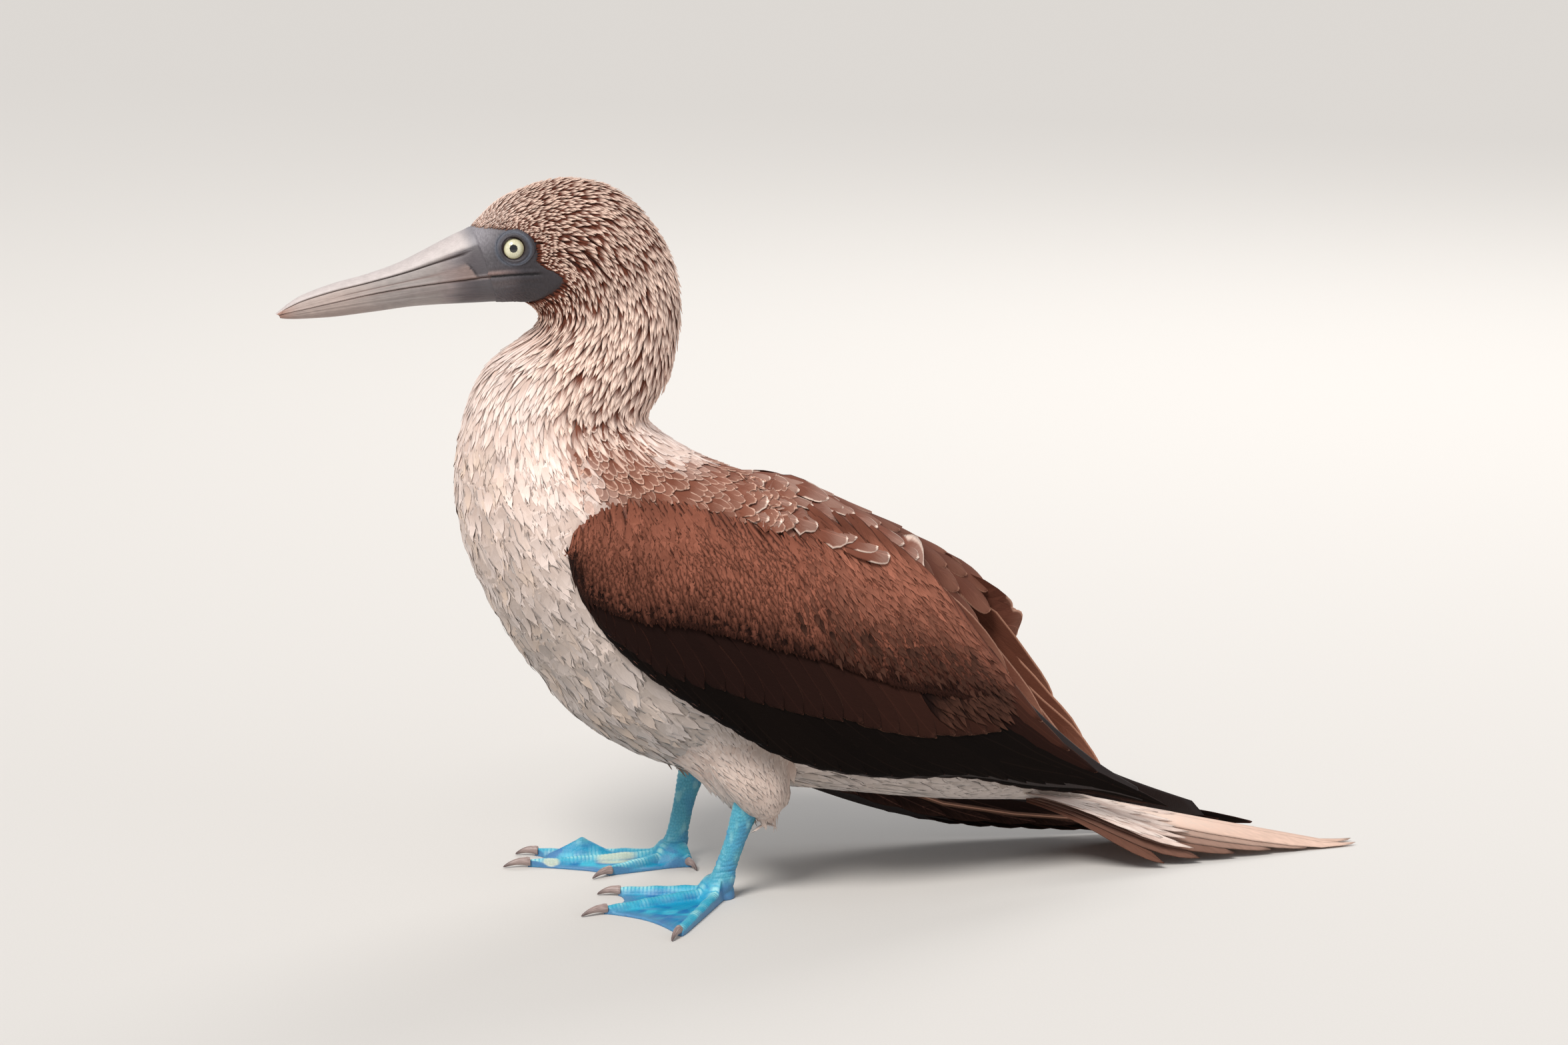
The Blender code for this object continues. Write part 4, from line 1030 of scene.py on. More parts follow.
def covert_colours(station, share, points):
    """Warm brown above, nearly black low on the wing and along its front rim; partly the feathers' own
    colours and partly painted shade.
    """
    hem = table_value(MEDIAN_HEM, station)
    rim = ramp(station, 2, 0.2) * ramp(share, 1, 0.65)
    rear = ramp(station, 5.4, 7)
    low = ramp(share, hem + 0.36 + 0.1 * rear, hem - 0.02 - 0.2 * rear) * (1 - 0.1 * rear)
    # The first term darkens all below the wing's top, and low reaches well above the hem: painted shade,
    # with the wing's top as if lit from above and its lower half in shade. The dark greater coverts under
    # the hem and the dark front rim are the feathers' own colour.
    dark = 0.25 * ramp(share, 1, 0.6) + 0.62 * rim + 0.95 * low + 0.2 * ramp(station, 4, 1.2)
    dark = dark + 0.35 * ramp(station, 5, 6.6) * ramp(share, 0.95, 0.7)
    long = points * (1, 1, 0.35)
    dark = np.clip(dark + 0.10 * waves(long, 14, 21), 0, 1)
    tone = (1 + 0.10 * waves(long, 11, 23))[..., None]
    return blend(COVERT_ROOT, GREATER_ROOT, dark) * tone, blend(COVERT_TIP, GREATER_TIP, dark) * tone


def make_lesser_coverts(prefix, side):
    """Small fine coverts over the upper wing, cut short where the median ones start."""
    soft = plumage("covert_feathers_" + prefix, (0.2, 1.2), streaks=0.28, streak_size=0.35, tone=0.05,
                   barb_depth=0.05, angle=8)
    sheet = WING_SHEET[side]
    u, v = scatter(sheet, (0.03, 7.3), (0, 1.05), (1.9, 3.4), 0.4)
    points, normal, du, dv = sheet.read(u, v)
    direction = down_back(covert_angle(u) + RANDOM.normal(0, 5, len(u)) + 6 * waves(points, 20, 24))
    direction = unit(direction - normal * spread(dot(direction, normal)))
    fall = np.maximum(-steps(du, dv, direction)[1], 1e-4)
    size = np.interp(u, (0, 2, 7.5), (0.75, 1, 1.4)) * RANDOM.uniform(0.8, 1.2, len(u))
    length = np.minimum(15 * size, (v - table_value(MEDIAN_HEM, u) + 0.02) / fall)
    u, v, points, direction, size, length = only(length > 4, u, v, points, direction, size, length)
    paths = straight_paths(sheet, u, v, direction, length, LANCE, RANDOM.normal(0, 0.05, len(u)))
    lift = (-0.05, 0.01 + 0.05 * ramp(u, 4.8, 6.5))
    batch = lay_vanes(sheet, paths, LANCE, 3.6 * size, lift, 3, covert_colours(u, v, points), crown=0.008)
    make_coat("coat_wing_" + prefix, [batch], soft)


def hem_row(sheet, hem, u, length, width, angle, outline, columns, lift, colours, rise=0, jag=0.02,
            **more):
    """A row of overlapping coverts whose tips lie along a hem, or so much above it."""
    v = table_value(hem, u) + rise + RANDOM.normal(0, 0.008 + 0.08 * jag, len(u))
    direction = down_back(angle + RANDOM.normal(0, 1.5, len(u)))
    paths = straight_paths(sheet, u, v, direction, length, outline, bend=0.05, from_tip=True)
    return lay_vanes(sheet, paths, outline, width, lift, columns, colours, crown=0.035 * width,
                     jag=jag, **more)


def make_median_coverts(prefix, side):
    """Three overlapping rows above the greater coverts, and loose feathers behind them."""
    middle = plumage("median_covert_feathers_" + prefix, (0.4, 1.1), streaks=0.35, edge=0.3, tone=0.10,
                     angle=18)
    sheet, batches = WING_SHEET[side], []
    for rise, drop, gap in ((0, 0.5, 0.13), (0.08, 0.4, 0.14), (0.17, 0.3, 0.16)):
        u = np.arange(0.5, 7 - rise, gap)
        size = np.interp(u, (0.5, 3, 5.5, 7.3), (0.55, 0.9, 1.15, 1.5)) * RANDOM.uniform(0.8, 1.2, len(u))
        u = u + RANDOM.uniform(-0.06, 0.06, len(u))
        v = table_value(MEDIAN_HEM, u) + rise
        colours = covert_colours(u, v, sheet.read(u, v)[0])
        batches.append(hem_row(sheet, MEDIAN_HEM, u, 22 * size, 8 * size, covert_angle(u) - 3, WISP, 7,
                               (-1 - drop, 0.1 - drop), colours, rise, 0.08, arc=0.25))
    u, v = scatter(sheet, (4.6, 6.6), (0.50, 1.02), (5, 7), 0.4)
    u, v = only(v > table_value(MEDIAN_HEM, u) + 0.06, u, v)
    batches.append(hackles(sheet, u, v, (16, 24), (4, 5.5), (-0.4, 0.12)))
    make_coat("coat_median_coverts_" + prefix, batches, middle)


GREATER_LENGTH = {LEFT: 52, RIGHT: 66}


def make_greater_coverts(prefix, side):
    large = plumage("greater_covert_feathers_" + prefix, (0.92, 1.2), streaks=0.3, streak_size=0.6,
                    shaft=0.3, tone=0.2, angle=26, ragged=0.2, rim=(0.1, 0.9, 0.45))
    u = np.arange(1.1, 7.55, 0.235)
    size = np.interp(u, (1, 3, 5.5, 7.3), (0.5, 1, 1.1, 1.35))
    brown = 0.5 * np.interp(u, (1, 4.5, 6.2, 7.6), (0, 0.05, 0.25, 0.5))
    colours = blend(GREATER_ROOT, TERTIAL_ROOT, brown), blend(GREATER_TIP, TERTIAL_TIP, brown)
    angle = np.interp(u, (1, 3, 5.5, 7.6), (64, 62, 56, 40))
    row = hem_row(WING_SHEET[side], GREATER_HEM, u, GREATER_LENGTH[side] * size, 14 * size, angle, PLUME,
                  11, (-2.3, -0.95), colours, jag=0.006, arc=0.15, tilt=-0.04 * side, cell=(0, len(u)))
    make_coat("coat_greater_coverts_" + prefix, [row], large)


def make_rear_coverts(prefix, side):
    shaggy = plumage("rear_covert_feathers_" + prefix, (0.35, 0.95), streaks=0.35, tone=0.14)
    sheet = WING_SHEET[side]
    u, v = scatter(sheet, (5, 7.8), (0.30, 1.04), (3.6, 6.5), 0.4)
    behind = (u > 6.7) & (v > table_value(GREATER_HEM, u) + 0.02)
    u, v = only((v > table_value(MEDIAN_HEM, u) - 0.03) | behind, u, v)
    shag = hackles(sheet, u, v, (24, 34), (4.5, 7), (-1, -0.1 + 0.5 * v))
    make_coat("coat_rear_coverts_" + prefix, [shag], shaggy)


def hackles(sheet, u, v, lengths, widths, lift):
    """Long loose coverts at the rear of the wing, with their tips at places of the sheet."""
    length, width = (RANDOM.uniform(*span, len(u)) for span in (lengths, widths))
    points, _, _, _ = sheet.read(u, v)
    direction = down_back(covert_angle(u) - 3 + RANDOM.normal(0, 5, len(u)))
    bend = RANDOM.normal(0, 0.05, len(u))
    paths = straight_paths(sheet, u, v, direction, length, WISP, bend, from_tip=True)
    root, tip = covert_colours(u, v, points)
    tone = RANDOM.uniform(0.85, 1.1, (len(u), 1))
    colours = root * 0.7 * tone, blend(tip, TERTIAL_TIP, 0.06) * tone
    return lay_vanes(sheet, paths, WISP, width, lift, 7, colours, crown=0.02 * width, arc=0.35, jag=0.12)


def long_feather(sheet, start, end, width, lift, colours, outline=PLUME, columns=11, bow=0, tilt=0,
                 arc=0.12, jag=0.006, cell=(0, 1)):
    """One long feather between two places of a sheet, each a pair of parameters."""
    t = np.array([row[0] for row in outline])[None]
    u = start[0] + (end[0] - start[0]) * t
    v = start[1] + (end[1] - start[1]) * t + bow * 4 * t * (1 - t)
    return lay_vanes(sheet, (u, v), outline, width, lift, columns, colours, crown=0.05 * width,
                     arc=arc, jag=jag, tilt=tilt, cell=cell)


def make_secondaries(prefix, side, dark):
    """A row of long secondaries along the wing's lower edge."""
    tips = np.arange(1.6, 9.3, 0.3)
    backs = np.interp(tips, (1.6, 3, 5, 9.3), (1, 1.45, 1.75, 1.6))
    heights = np.interp(tips, (1.6, 3, 5, 7, 9.3), (0.14, 0.24, 0.32, 0.36, 0.4))
    widths = np.interp(tips, (1.6, 3, 5, 9.3), (9, 14, 18, 12))
    batches = [long_feather(WING_SHEET[side], (u - back, height), (u, 0.035), width, (-2.4, -1.6),
                            (FLIGHT_ROOT, FLIGHT_TIP), bow=-0.02, tilt=-0.05 * side, columns=9,
                            cell=(k, len(tips)))
               for k, (u, back, height, width) in enumerate(zip(tips, backs, heights, widths))]
    make_coat("coat_secondaries_" + prefix, batches, dark)


def make_primaries(prefix, side, dark):
    for group, end in enumerate((10, 9.6, 9.2)):
        share = (group + 0.5) * 0.62 / 3
        batches = [long_feather(WING_SHEET[side], (6.6, share + 0.06 - 0.1 * k),
                                (end - 0.28 * k, 0.42 - 0.12 * k), 13 - 2 * k,
                                (-2.2 - 0.5 * k, -1 - 0.5 * k), (FLIGHT_ROOT, FLIGHT_TIP), BLADE,
                                bow=-0.04, cell=(k, 2)) for k in range(2)]
        name = f"primaries_{prefix}_{group + 1}"
        make_coat("vane_" + name, batches, dark, (name,))


def make_inner_secondaries(prefix, side):
    """Three groups of three, each group higher on the wing and browner than the last."""
    brown = plumage("inner_secondary_feathers_" + prefix, streak_size=0.6, shaft=0.3, tone=0.2,
                    roughness=0.6, specular=0.05, angle=16, ragged=0.15, rim=(0.1, 0.9, 0.3))
    for group, end in enumerate((9, 8.6, 8.2)):
        share, layer = 0.66 + 0.13 * group, 0.3 * group
        colours = (blend(GREATER_ROOT, TERTIAL_ROOT, 0.05 + 0.2 * group),
                   blend(GREATER_TIP, TERTIAL_TIP, 0.1 + 0.2 * group))
        batches = [long_feather(WING_SHEET[side], (4.6 - 0.3 * k, share + 0.14 - 0.06 * k),
                                (end - 0.42 * k, share - 0.03 - 0.02 * k), 15,
                                (-2.2 + layer - 0.3 * k, -1 + layer - 0.3 * k), colours,
                                tilt=-0.05 * side, cell=(k, 3)) for k in range(3)]
        name = f"secondaries_{prefix}_{group + 1}"
        make_coat("vane_" + name, batches, brown, (name,))


def make_wing(prefix, side):
    make_lesser_coverts(prefix, side)
    make_median_coverts(prefix, side)
    make_greater_coverts(prefix, side)
    make_rear_coverts(prefix, side)
    dark = plumage("flight_feathers_" + prefix, streaks=0.3, streak_size=0.6, shaft=0.9, tone=0.3,
                   roughness=0.6, specular=0.05, angle=18, ragged=0.12, rim=(0.1, 0.7, 0.3))
    make_secondaries(prefix, side, dark)
    make_primaries(prefix, side, dark)
    make_inner_secondaries(prefix, side)


def make_underwing(prefix, side):
    """Undersides of the flight feathers, with their pale shafts, on a wing's inner face."""
    def inner(station, share):
        points = wing_points(WING[side], side)(station, share)
        points[..., 1] -= side * catmull(WING[side], station)[..., 7] * 0.8
        return points

    under = plumage("underwing_feathers_" + prefix, (0.8, 1.1), streaks=0.25, streak_size=0.7, shaft=2.2,
                    edge=0.2, tone=0.2, roughness=0.6, specular=0.06, angle=30)
    sheet = Sheet(inner, (0, 10), (0, 1), (161, 31), np.array((0, -side, -0.2)))
    tips = np.arange(3, 9.9, 0.45)
    widths = np.interp(tips, (3, 6, 9.9), (15, 15, 8))
    batches = [long_feather(sheet, (u - 2.6, 0.34), (u, 0.06), width, (-0.2 - 0.02 * k, 0.2 - 0.02 * k),
                            (UNDERWING_ROOT, UNDERWING_TIP), tilt=0.04 * side, columns=9,
                            cell=(k, len(tips)))
               for k, (u, width) in enumerate(zip(tips, widths))]
    batches.append(long_feather(sheet, (3.3, 0.30), (9.3, 0.10), 2.8, (0.55, 0.6), (QUILL, QUILL),
                                columns=5, bow=-0.05, cell=(0, 100)))
    make_coat("coat_underwing_" + prefix, batches, under)


# ---------------------------------------------------------------- shoulders, back and rump

# Tips of the scapulars as station and share of their cover, from the front.
SCAPULAR_PLACES = {
    LEFT: ((0.5, 0.95), (0.55, 0.55), (0.62, 0.12), (0.85, 0.20), (0.92, 1.04), (0.95, 0.66),
           (1.12, 0.34), (1.35, 0.78), (1.5, 0.40), (1.65, 1.08), (1.85, 0.72), (2.15, 0.30),
           (2.15, 1.05), (2.3, 0.46), (2.5, 0.66), (2.6, 1.05), (2.75, 0.4), (3.08, 0.18),
           (3.2, 1.05), (3.4, 0.62), (3.6, 0.4), (3.7, 0.9), (4, 0.1)),
    RIGHT: ((0.5, 0.05), (0.7, 0.75), (0.9, 0.45), (1.1, 0.1), (1.3, 0.75), (1.5, 0.48), (1.8, 0.12),
            (1.9, 0.76), (2.2, 0.5), (2.6, 0.14), (2.6, 0.76), (3, 0.5), (3.4, 0.76), (3.5, 0.12),
            (4, 0.5), (4.2, 0.74), (4.6, 0.14), (4.8, 0.5), (5.2, 0.2), (5.35, 0.85), (5.6, 0.15),
            (5.7, 0.55), (5.9, 0.18)),
}
# Where the covers' upper edges run along the back: x, z, y on the right, then on the left.
BACK_LINES = (
    (4, 214, 13, 4, 214.5, 8),
    (42, 205.6, 15.5, 42, 205, 9),
    (84, 187, 16.5, 78, 185, 16),
    (110, 173.2, 17.5, 100, 168, 21),
    (135, 156.8, 17.5, 118, 146, 16),
    (156, 134.8, 17.5, 143, 117, 12),
    (170, 117, 17, 160, 100, 9),
)


def back_points(station, share):
    """Points of the back between the covers of both sides, a little arched; share 0 is the right."""
    x_right, z_right, y_right, x_left, z_left, y_left = curves(BACK_LINES, station)
    arch = 3 * 4 * share * (1 - share) * ramp(station, 0, 1)
    return np.stack((x_right + (x_left - x_right) * share, y_right - (y_right + y_left) * share,
                     z_right + (z_left - z_right) * share + arch), -1)


BACK_SHEET = Sheet(back_points, (0, 6), (0, 1), (81, 31), np.array((0, -0.3, 1)))


def make_back():
    """Scapulars and long tertials that meet over the back, between the covers of both sides."""
    brown = plumage("back_feathers", streak_size=0.5, shaft=0.15, tone=0.16, halo=0.2, angle=26,
                    ragged=0.25, rim=(0.1, 1.5, 0.6))
    spots = []
    for row, station in enumerate(np.arange(0.6, 5.1, 0.52)):
        for share in (0.18, 0.62, 1) if row % 2 else (0, 0.40, 0.85):
            spots.append((station + 0.1 * math.sin(9 * share + station), share))
    batches = []
    for k, (station, share) in enumerate(spots):
        far = ramp(station, 0.8, 3)
        colours = blend(SCAPULAR_ROOT, BACK_ROOT, far), blend(SCAPULAR_TIP, BACK_TIP, far)
        batches.append(long_feather(BACK_SHEET, (max(station - 1.5, -0.1), share + 0.02), (station, share),
                                    18, (-1.5, 0.8 - 0.08 * station), colours, ROUND, arc=0,
                                    jag=0.012, cell=(k, len(spots))))
    make_coat("coat_back", batches, brown)


def make_scapulars(prefix, side):
    pale = plumage("scapular_feathers_" + prefix, shaft=0.4, tone=0.10, halo=0.16, angle=26, ragged=0.3,
                   rim=(0.1, 2.1, 0.66))
    places = SCAPULAR_PLACES[side]
    batches = []
    for k, (station, share) in enumerate(places):
        width = float(np.interp(station, (0.3, 1.2, 2.2), (15, 18, 19.5)))
        far = 0.85 * ramp(station, 1.2, 2.6) if side == RIGHT else 0
        colours = blend(SCAPULAR_ROOT, BACK_ROOT, far), blend(SCAPULAR_TIP, TERTIAL_TIP, far)
        start = max(station - 1.15, -0.1)
        lift = (-2.2 - 3.2 * float(ramp(start, 0.25, -0.1)), 0.8 - 0.10 * station - 0.35 * (1 - share))
        batches.append(long_feather(SCAPULAR_SHEET[side], (start, share + 0.10), (station, share), width,
                                    lift, colours, ROUND, 13, arc=0, jag=0.012, tilt=0.03 * side,
                                    cell=(k, len(places))))
    make_coat("vane_scapulars_" + prefix, batches, pale, ("scapulars_" + prefix,))


def make_shoulder(prefix, side):
    """Scalloped feathers that lead from the mantle into the scapulars."""
    scallop = plumage("shoulder_feathers_" + prefix, halo=0.16, angle=22, ragged=0.35,
                      rim=(0.1, 1.5, 0.72))
    sheet = SCAPULAR_SHEET[side]
    u, v = scatter(sheet, (-0.12, 0.42), (0.05, 1.1), (5.5, 5.5))
    direction = down_back(23 + RANDOM.normal(0, 3, len(u)))
    paths = straight_paths(sheet, u, v, direction, np.interp(u, (0, 0.4), (15, 20)), ROUND)
    batch = lay_vanes(sheet, paths, ROUND, np.interp(u, (0, 0.8), (9, 12)),
                      (-1.4 - 3.6 * ramp(u, 0.35, -0.05), 0.8), 9, (MANTLE_ROOT, MANTLE_TIP),
                      crown=0.4, jag=0.02)
    make_coat("coat_shoulder_" + prefix, [batch], scallop)


# Tertials: stations of root and tip, share of the cover's height and width, the lowest first.
TERTIAL_PLACES = {LEFT: ((0.6, 4, 0.4, 12), (0.4, 3.4, 0.15, 13), (0.2, 3, 0.7, 14),
                         (-0.2, 2.5, 0.3, 15), (-0.5, 1.9, 0.75, 15), (-0.8, 1.2, 0.3, 15),
                         (-0.9, 0.9, 0.8, 14)),
                  RIGHT: ((1.6, 4.9, 0.3, 9), (1, 4.4, 0.5, 14), (0.6, 3.8, 0.3, 15),
                          (0, 3.2, 0.72, 16), (-0.4, 2.4, 0.3, 16), (-0.6, 1.75, 0.62, 18),
                          (-0.9, 0.95, 0.7, 18), (-1, 0.7, 0.25, 16))}


def make_tertials(prefix, side):
    brown = plumage("tertial_feathers_" + prefix, streak_size=0.6, shaft=0.2, tone=0.14, halo=0.2,
                    angle=24, ragged=0.15, rim=(0.2, 1.4, 0.3))
    batches = [long_feather(TERTIAL_SHEET[side], (start, share + 0.1), (end, share), width,
                            (-1 + 0.1 * k, 0.1 + 0.22 * k), (TERTIAL_ROOT, TERTIAL_TIP),
                            BLADE if k < 3 else PLUME, cell=(k, 8))
               for k, (start, end, share, width) in enumerate(TERTIAL_PLACES[side])]
    make_coat("vane_tertials_" + prefix, batches, brown, ("tertials_" + prefix,))


# ---------------------------------------------------------------- tail and thighs

# How pale a tail feather's root and tip are, from the middle pair outwards.
TAIL_PALENESS = ((1, 1), (0.75, 0.6), (0.35, 0.3), (0.15, 0.12), (0.05, 0.05), (0, 0))


TAIL_ROOT = (166, 1.6, 1.7)             # x of the feathers' roots, y of the first, step to the next
TAIL_COVERT_SPAN, TAIL_COVERT_REACH = (148, 205), 24


def make_tail():
    streaky = plumage("tail_feathers", (0.20, 0.75), streaks=0.5, streak_size=1.4, shaft=-0.25, edge=0.25)
    for prefix, side in SIDES:
        for index, ((tip_x, tip_y), (pale_root, pale_tip)) in enumerate(zip(TAIL_TIPS, TAIL_PALENESS)):
            colours = blend(TAIL_BROWN, TAIL_PALE, pale_root), blend(TAIL_BROWN, TAIL_PALE_TIP, pale_tip)
            drop = TAIL_LAYER * index
            root = TAIL_ROOT[0], side * (TAIL_ROOT[1] + TAIL_ROOT[2] * index)
            batch = long_feather(TAIL_SHEET, root, (tip_x, side * tip_y),
                                 2.1 * TAIL_HALF_WIDTHS[index], (-drop, -drop), colours, BLADE, 13)
            name = f"{prefix}_{index + 1}"
            make_coat("vane_tail_" + name, [batch], streaky, ("tail_feather_" + name,))


def make_tail_coverts():
    white = plumage("tail_covert_feathers", (0.35, 0.95), streaks=0.3, streak_size=0.7, tone=0.08)
    u, v = scatter(TAIL_SHEET, TAIL_COVERT_SPAN, (-TAIL_COVERT_REACH, TAIL_COVERT_REACH), (4, 6))
    u, v = only(np.abs(v) < np.interp(u, TAIL_COVERT_SPAN, (12, 23)), u, v)
    direction = np.stack((np.ones_like(u), v / 110, np.zeros_like(u)), -1)
    length = RANDOM.uniform(26, 48, len(u)) * np.interp(u, TAIL_COVERT_SPAN, (0.9, 1.1))
    paths = straight_paths(TAIL_SHEET, u, v, direction, length, LOCK, RANDOM.normal(0, 0.02, len(u)))
    brown = RANDOM.uniform(0, 0.5, len(u)) * ramp(u, 165, 200)
    colours = blend(WHITE_ROOT, TAIL_BROWN, brown), blend(TAIL_COVERT_PALE, TAIL_COVERT_BROWN, brown)
    batch = lay_vanes(TAIL_SHEET, paths, LOCK, RANDOM.uniform(4, 7, len(u)), (0.2, 0.9), 7, colours,
                      crown=0.25, arc=0.8, jag=0.2)
    make_coat("coat_tail_base", [batch], white)


FLANK_TOP = 106             # height where the flank's feathers start, under the wing
FLANK_SPAN = (-40, 34)      # x of their roots, before the thigh's shift


def flank_points(side):
    """The flank run smoothly onto the thigh: depth down from the wing's edge, then x."""
    shift_x, shift_z = THIGH_SHIFT[side]
    heights = [row[0] for row in THIGH]

    def points(depth, x):
        height = FLANK_TOP - depth
        thigh_depth = np.interp(height - shift_z, heights, np.arange(THIGH_DEPTH, -1, -1))
        _, middle, half_length, y, half_width = curves(THIGH[::-1], thigh_depth)
        off = np.abs(x - middle - shift_x) / half_length
        round_part = np.sqrt(np.maximum(1 - off ** 2, 0))
        thigh = y + half_width * (round_part - 1.6 * np.maximum(off - 0.85, 0) ** 1.5)
        trunk = trunk_half_width(x, height)
        out = 0.5 * (thigh + trunk + np.sqrt((thigh - trunk) ** 2 + 9 ** 2))
        return np.stack((x, side * np.maximum(out - 1.6, 1), height), -1)
    return points


def thigh_vanes(sheet, u, v, direction, length, widths, lift, tone_seed):
    """Soft vanes of thigh and flank, browner towards the shank; at the top they take the belly's white in
    painted shade.
    """
    width = RANDOM.uniform(*widths, len(u))
    points, _, _, _ = sheet.read(u, v)
    paths = straight_paths(sheet, u, v, direction, length, WISP, RANDOM.normal(0, 0.05, len(u)))
    tone = spread(1 + 0.05 * waves(points, 12, tone_seed))
    low = ramp(points[:, 2], 106, 72)
    colours = blend(BELLY_SHADE_ROOT, THIGH_ROOT, low) * tone, blend(BELLY_SHADE_TIP, THIGH_TIP, low) * tone
    return lay_vanes(sheet, paths, WISP, width, lift, 5, colours, crown=0.06, arc=0.3, jag=0.10)


def thigh_batch(side):
    sheet = THIGH_SHEET[side]
    u, v = scatter(sheet, (-0.4, 4.4), (0, TURN), (2.5, 3.6))
    _, _, du, _ = sheet.read(u, v)
    length = 20 * RANDOM.uniform(0.8, 1.25, len(u)) * np.interp(u, (0, 3.5, 4.5), (1, 1, 0.6))
    direction = unit(du) + np.array((0.30, 0, 0))
    return thigh_vanes(sheet, u, v, direction, length, (3, 4.4), (-0.3, 0.02), 31)


def flank_batch(side):
    """Feathers from under the wing down onto the thigh, where neither hides them."""
    shift_x, shift_z = THIGH_SHIFT[side]
    sheet = Sheet(flank_points(side), (0, 66), (-60, 60), (67, 121), np.array((0, side, 0)))
    u, v = scatter(sheet, (0, 60), [x + shift_x for x in FLANK_SPAN], (3, 4.2))
    points, normal, _, _ = sheet.read(u, v)
    low = np.interp(points[:, 0] - shift_x, (-40, -14, 4, 34), (74, 60, 46, 44)) + shift_z
    kept = (points[:, 2] > low + 6) & (np.abs(points[:, 1]) > 24) & (np.abs(normal[:, 1]) > 0.35)
    u, v, points = only(kept, u, v, points)
    lean = np.interp(points[:, 0] - shift_x, (-40, -10, 15, 34), (1.1, 0.7, 0.35, 0.3))
    direction = np.stack((lean, 0 * lean, -np.ones(len(u))), -1)
    length = RANDOM.uniform(16, 22, len(u))
    return thigh_vanes(sheet, u, v, direction, length, (3.8, 5.4), (-0.18, 0), 32)


def make_thigh_coat(prefix, side):
    soft = plumage("thigh_feathers_" + prefix, (0.2, 1), streaks=0.16, tone=0.03, barb_depth=0.06,
                   sheen=0.25, angle=12)
    make_coat("coat_thigh_" + prefix, [thigh_batch(side), flank_batch(side)], soft)


# ---------------------------------------------------------------- skin with the bare face

EYE_AXIS = unit(np.array((-0.15, 1, 0.14)))      # of the right eye
IRIS_RADIUS, PUPIL_RADIUS, LID_RADIUS = 5.3, 2, 8.9
LID_MIDDLE = (EYE_CENTRE[0] - 1, EYE_CENTRE[2] + 1)
LORES = (-113.5, 333)           # x and z of the hollow before the eye
GAPE = ((-123, 318.4), (-113.7, 320), (-105.2, 320.8), (-96, 321.5), (-86.5, 322))


def eye_distance(x, z):
    """Distance seen from the side from the middle of the lid."""
    return np.hypot(x - LID_MIDDLE[0], z - LID_MIDDLE[1])


def face_relief(points, bare):
    """How far the bare face stands out: gape fold, hollow before the eye and fine wrinkles."""
    x, z = points[..., 0], points[..., 2]
    line = table_value(GAPE, x)
    gape = 0.45 * bump(z, line + 1.5, 0.8) - 0.25 * bump(z, line + 3.2, 0.6) - 1.1 * bump(z, line, 0.55) \
        + 0.35 * bump(z, line - 2, 1.3) - 0.15 * bump(z, line - 5, 0.8)
    wrinkles = 0.10 * waves(points * (1, 1, 0.35), 1.5, 3) + 0.08 * waves(points * (0.4, 1, 1), 1.1, 4)
    lores = -0.5 * bump(np.hypot((x - LORES[0]) / 6, (z - LORES[1]) / 4), 0, 1)
    relief = gape * ramp(x, -85, -92) * ramp(bare, 0, 3) + lores + wrinkles * ramp(bare, 0, 2)
    return relief * ramp(bare, -0.5, 1)


def body_skin():
    """Points, faces, side distances, colours and unwrap of the skin of head, neck and trunk."""
    stations = np.concatenate((np.linspace(0, 2.1, 165, endpoint=False), np.linspace(2.1, BODY_END, 85)))
    u, v = all_pairs(stations, ring(286))
    points, normal, _, _ = BODY_SHEET.read(u, v)
    bare = side_distance(points[..., 0], points[..., 2])
    depth = np.maximum(table_value(COAT, u, 5) * 1.2, 0.8)
    lift = 0.15 - depth * ramp(bare, 1.2, -2.5) + face_relief(points, bare) - 0.5 * ramp(u, 0.08, 0)
    eye = eye_distance(points[..., 0], points[..., 2])
    lift = lift - 3.5 * ramp(eye, LID_RADIUS - 0.4, LID_RADIUS - 2)
    root, _ = body_colours(u, v, points)
    points = points + normal * spread(lift)
    return (points.reshape(-1, 3), tube_faces(*u.shape), bare.ravel(), root.reshape(-1, 3),
            BODY_SHEET.unwrap(u, v).reshape(-1, 2))


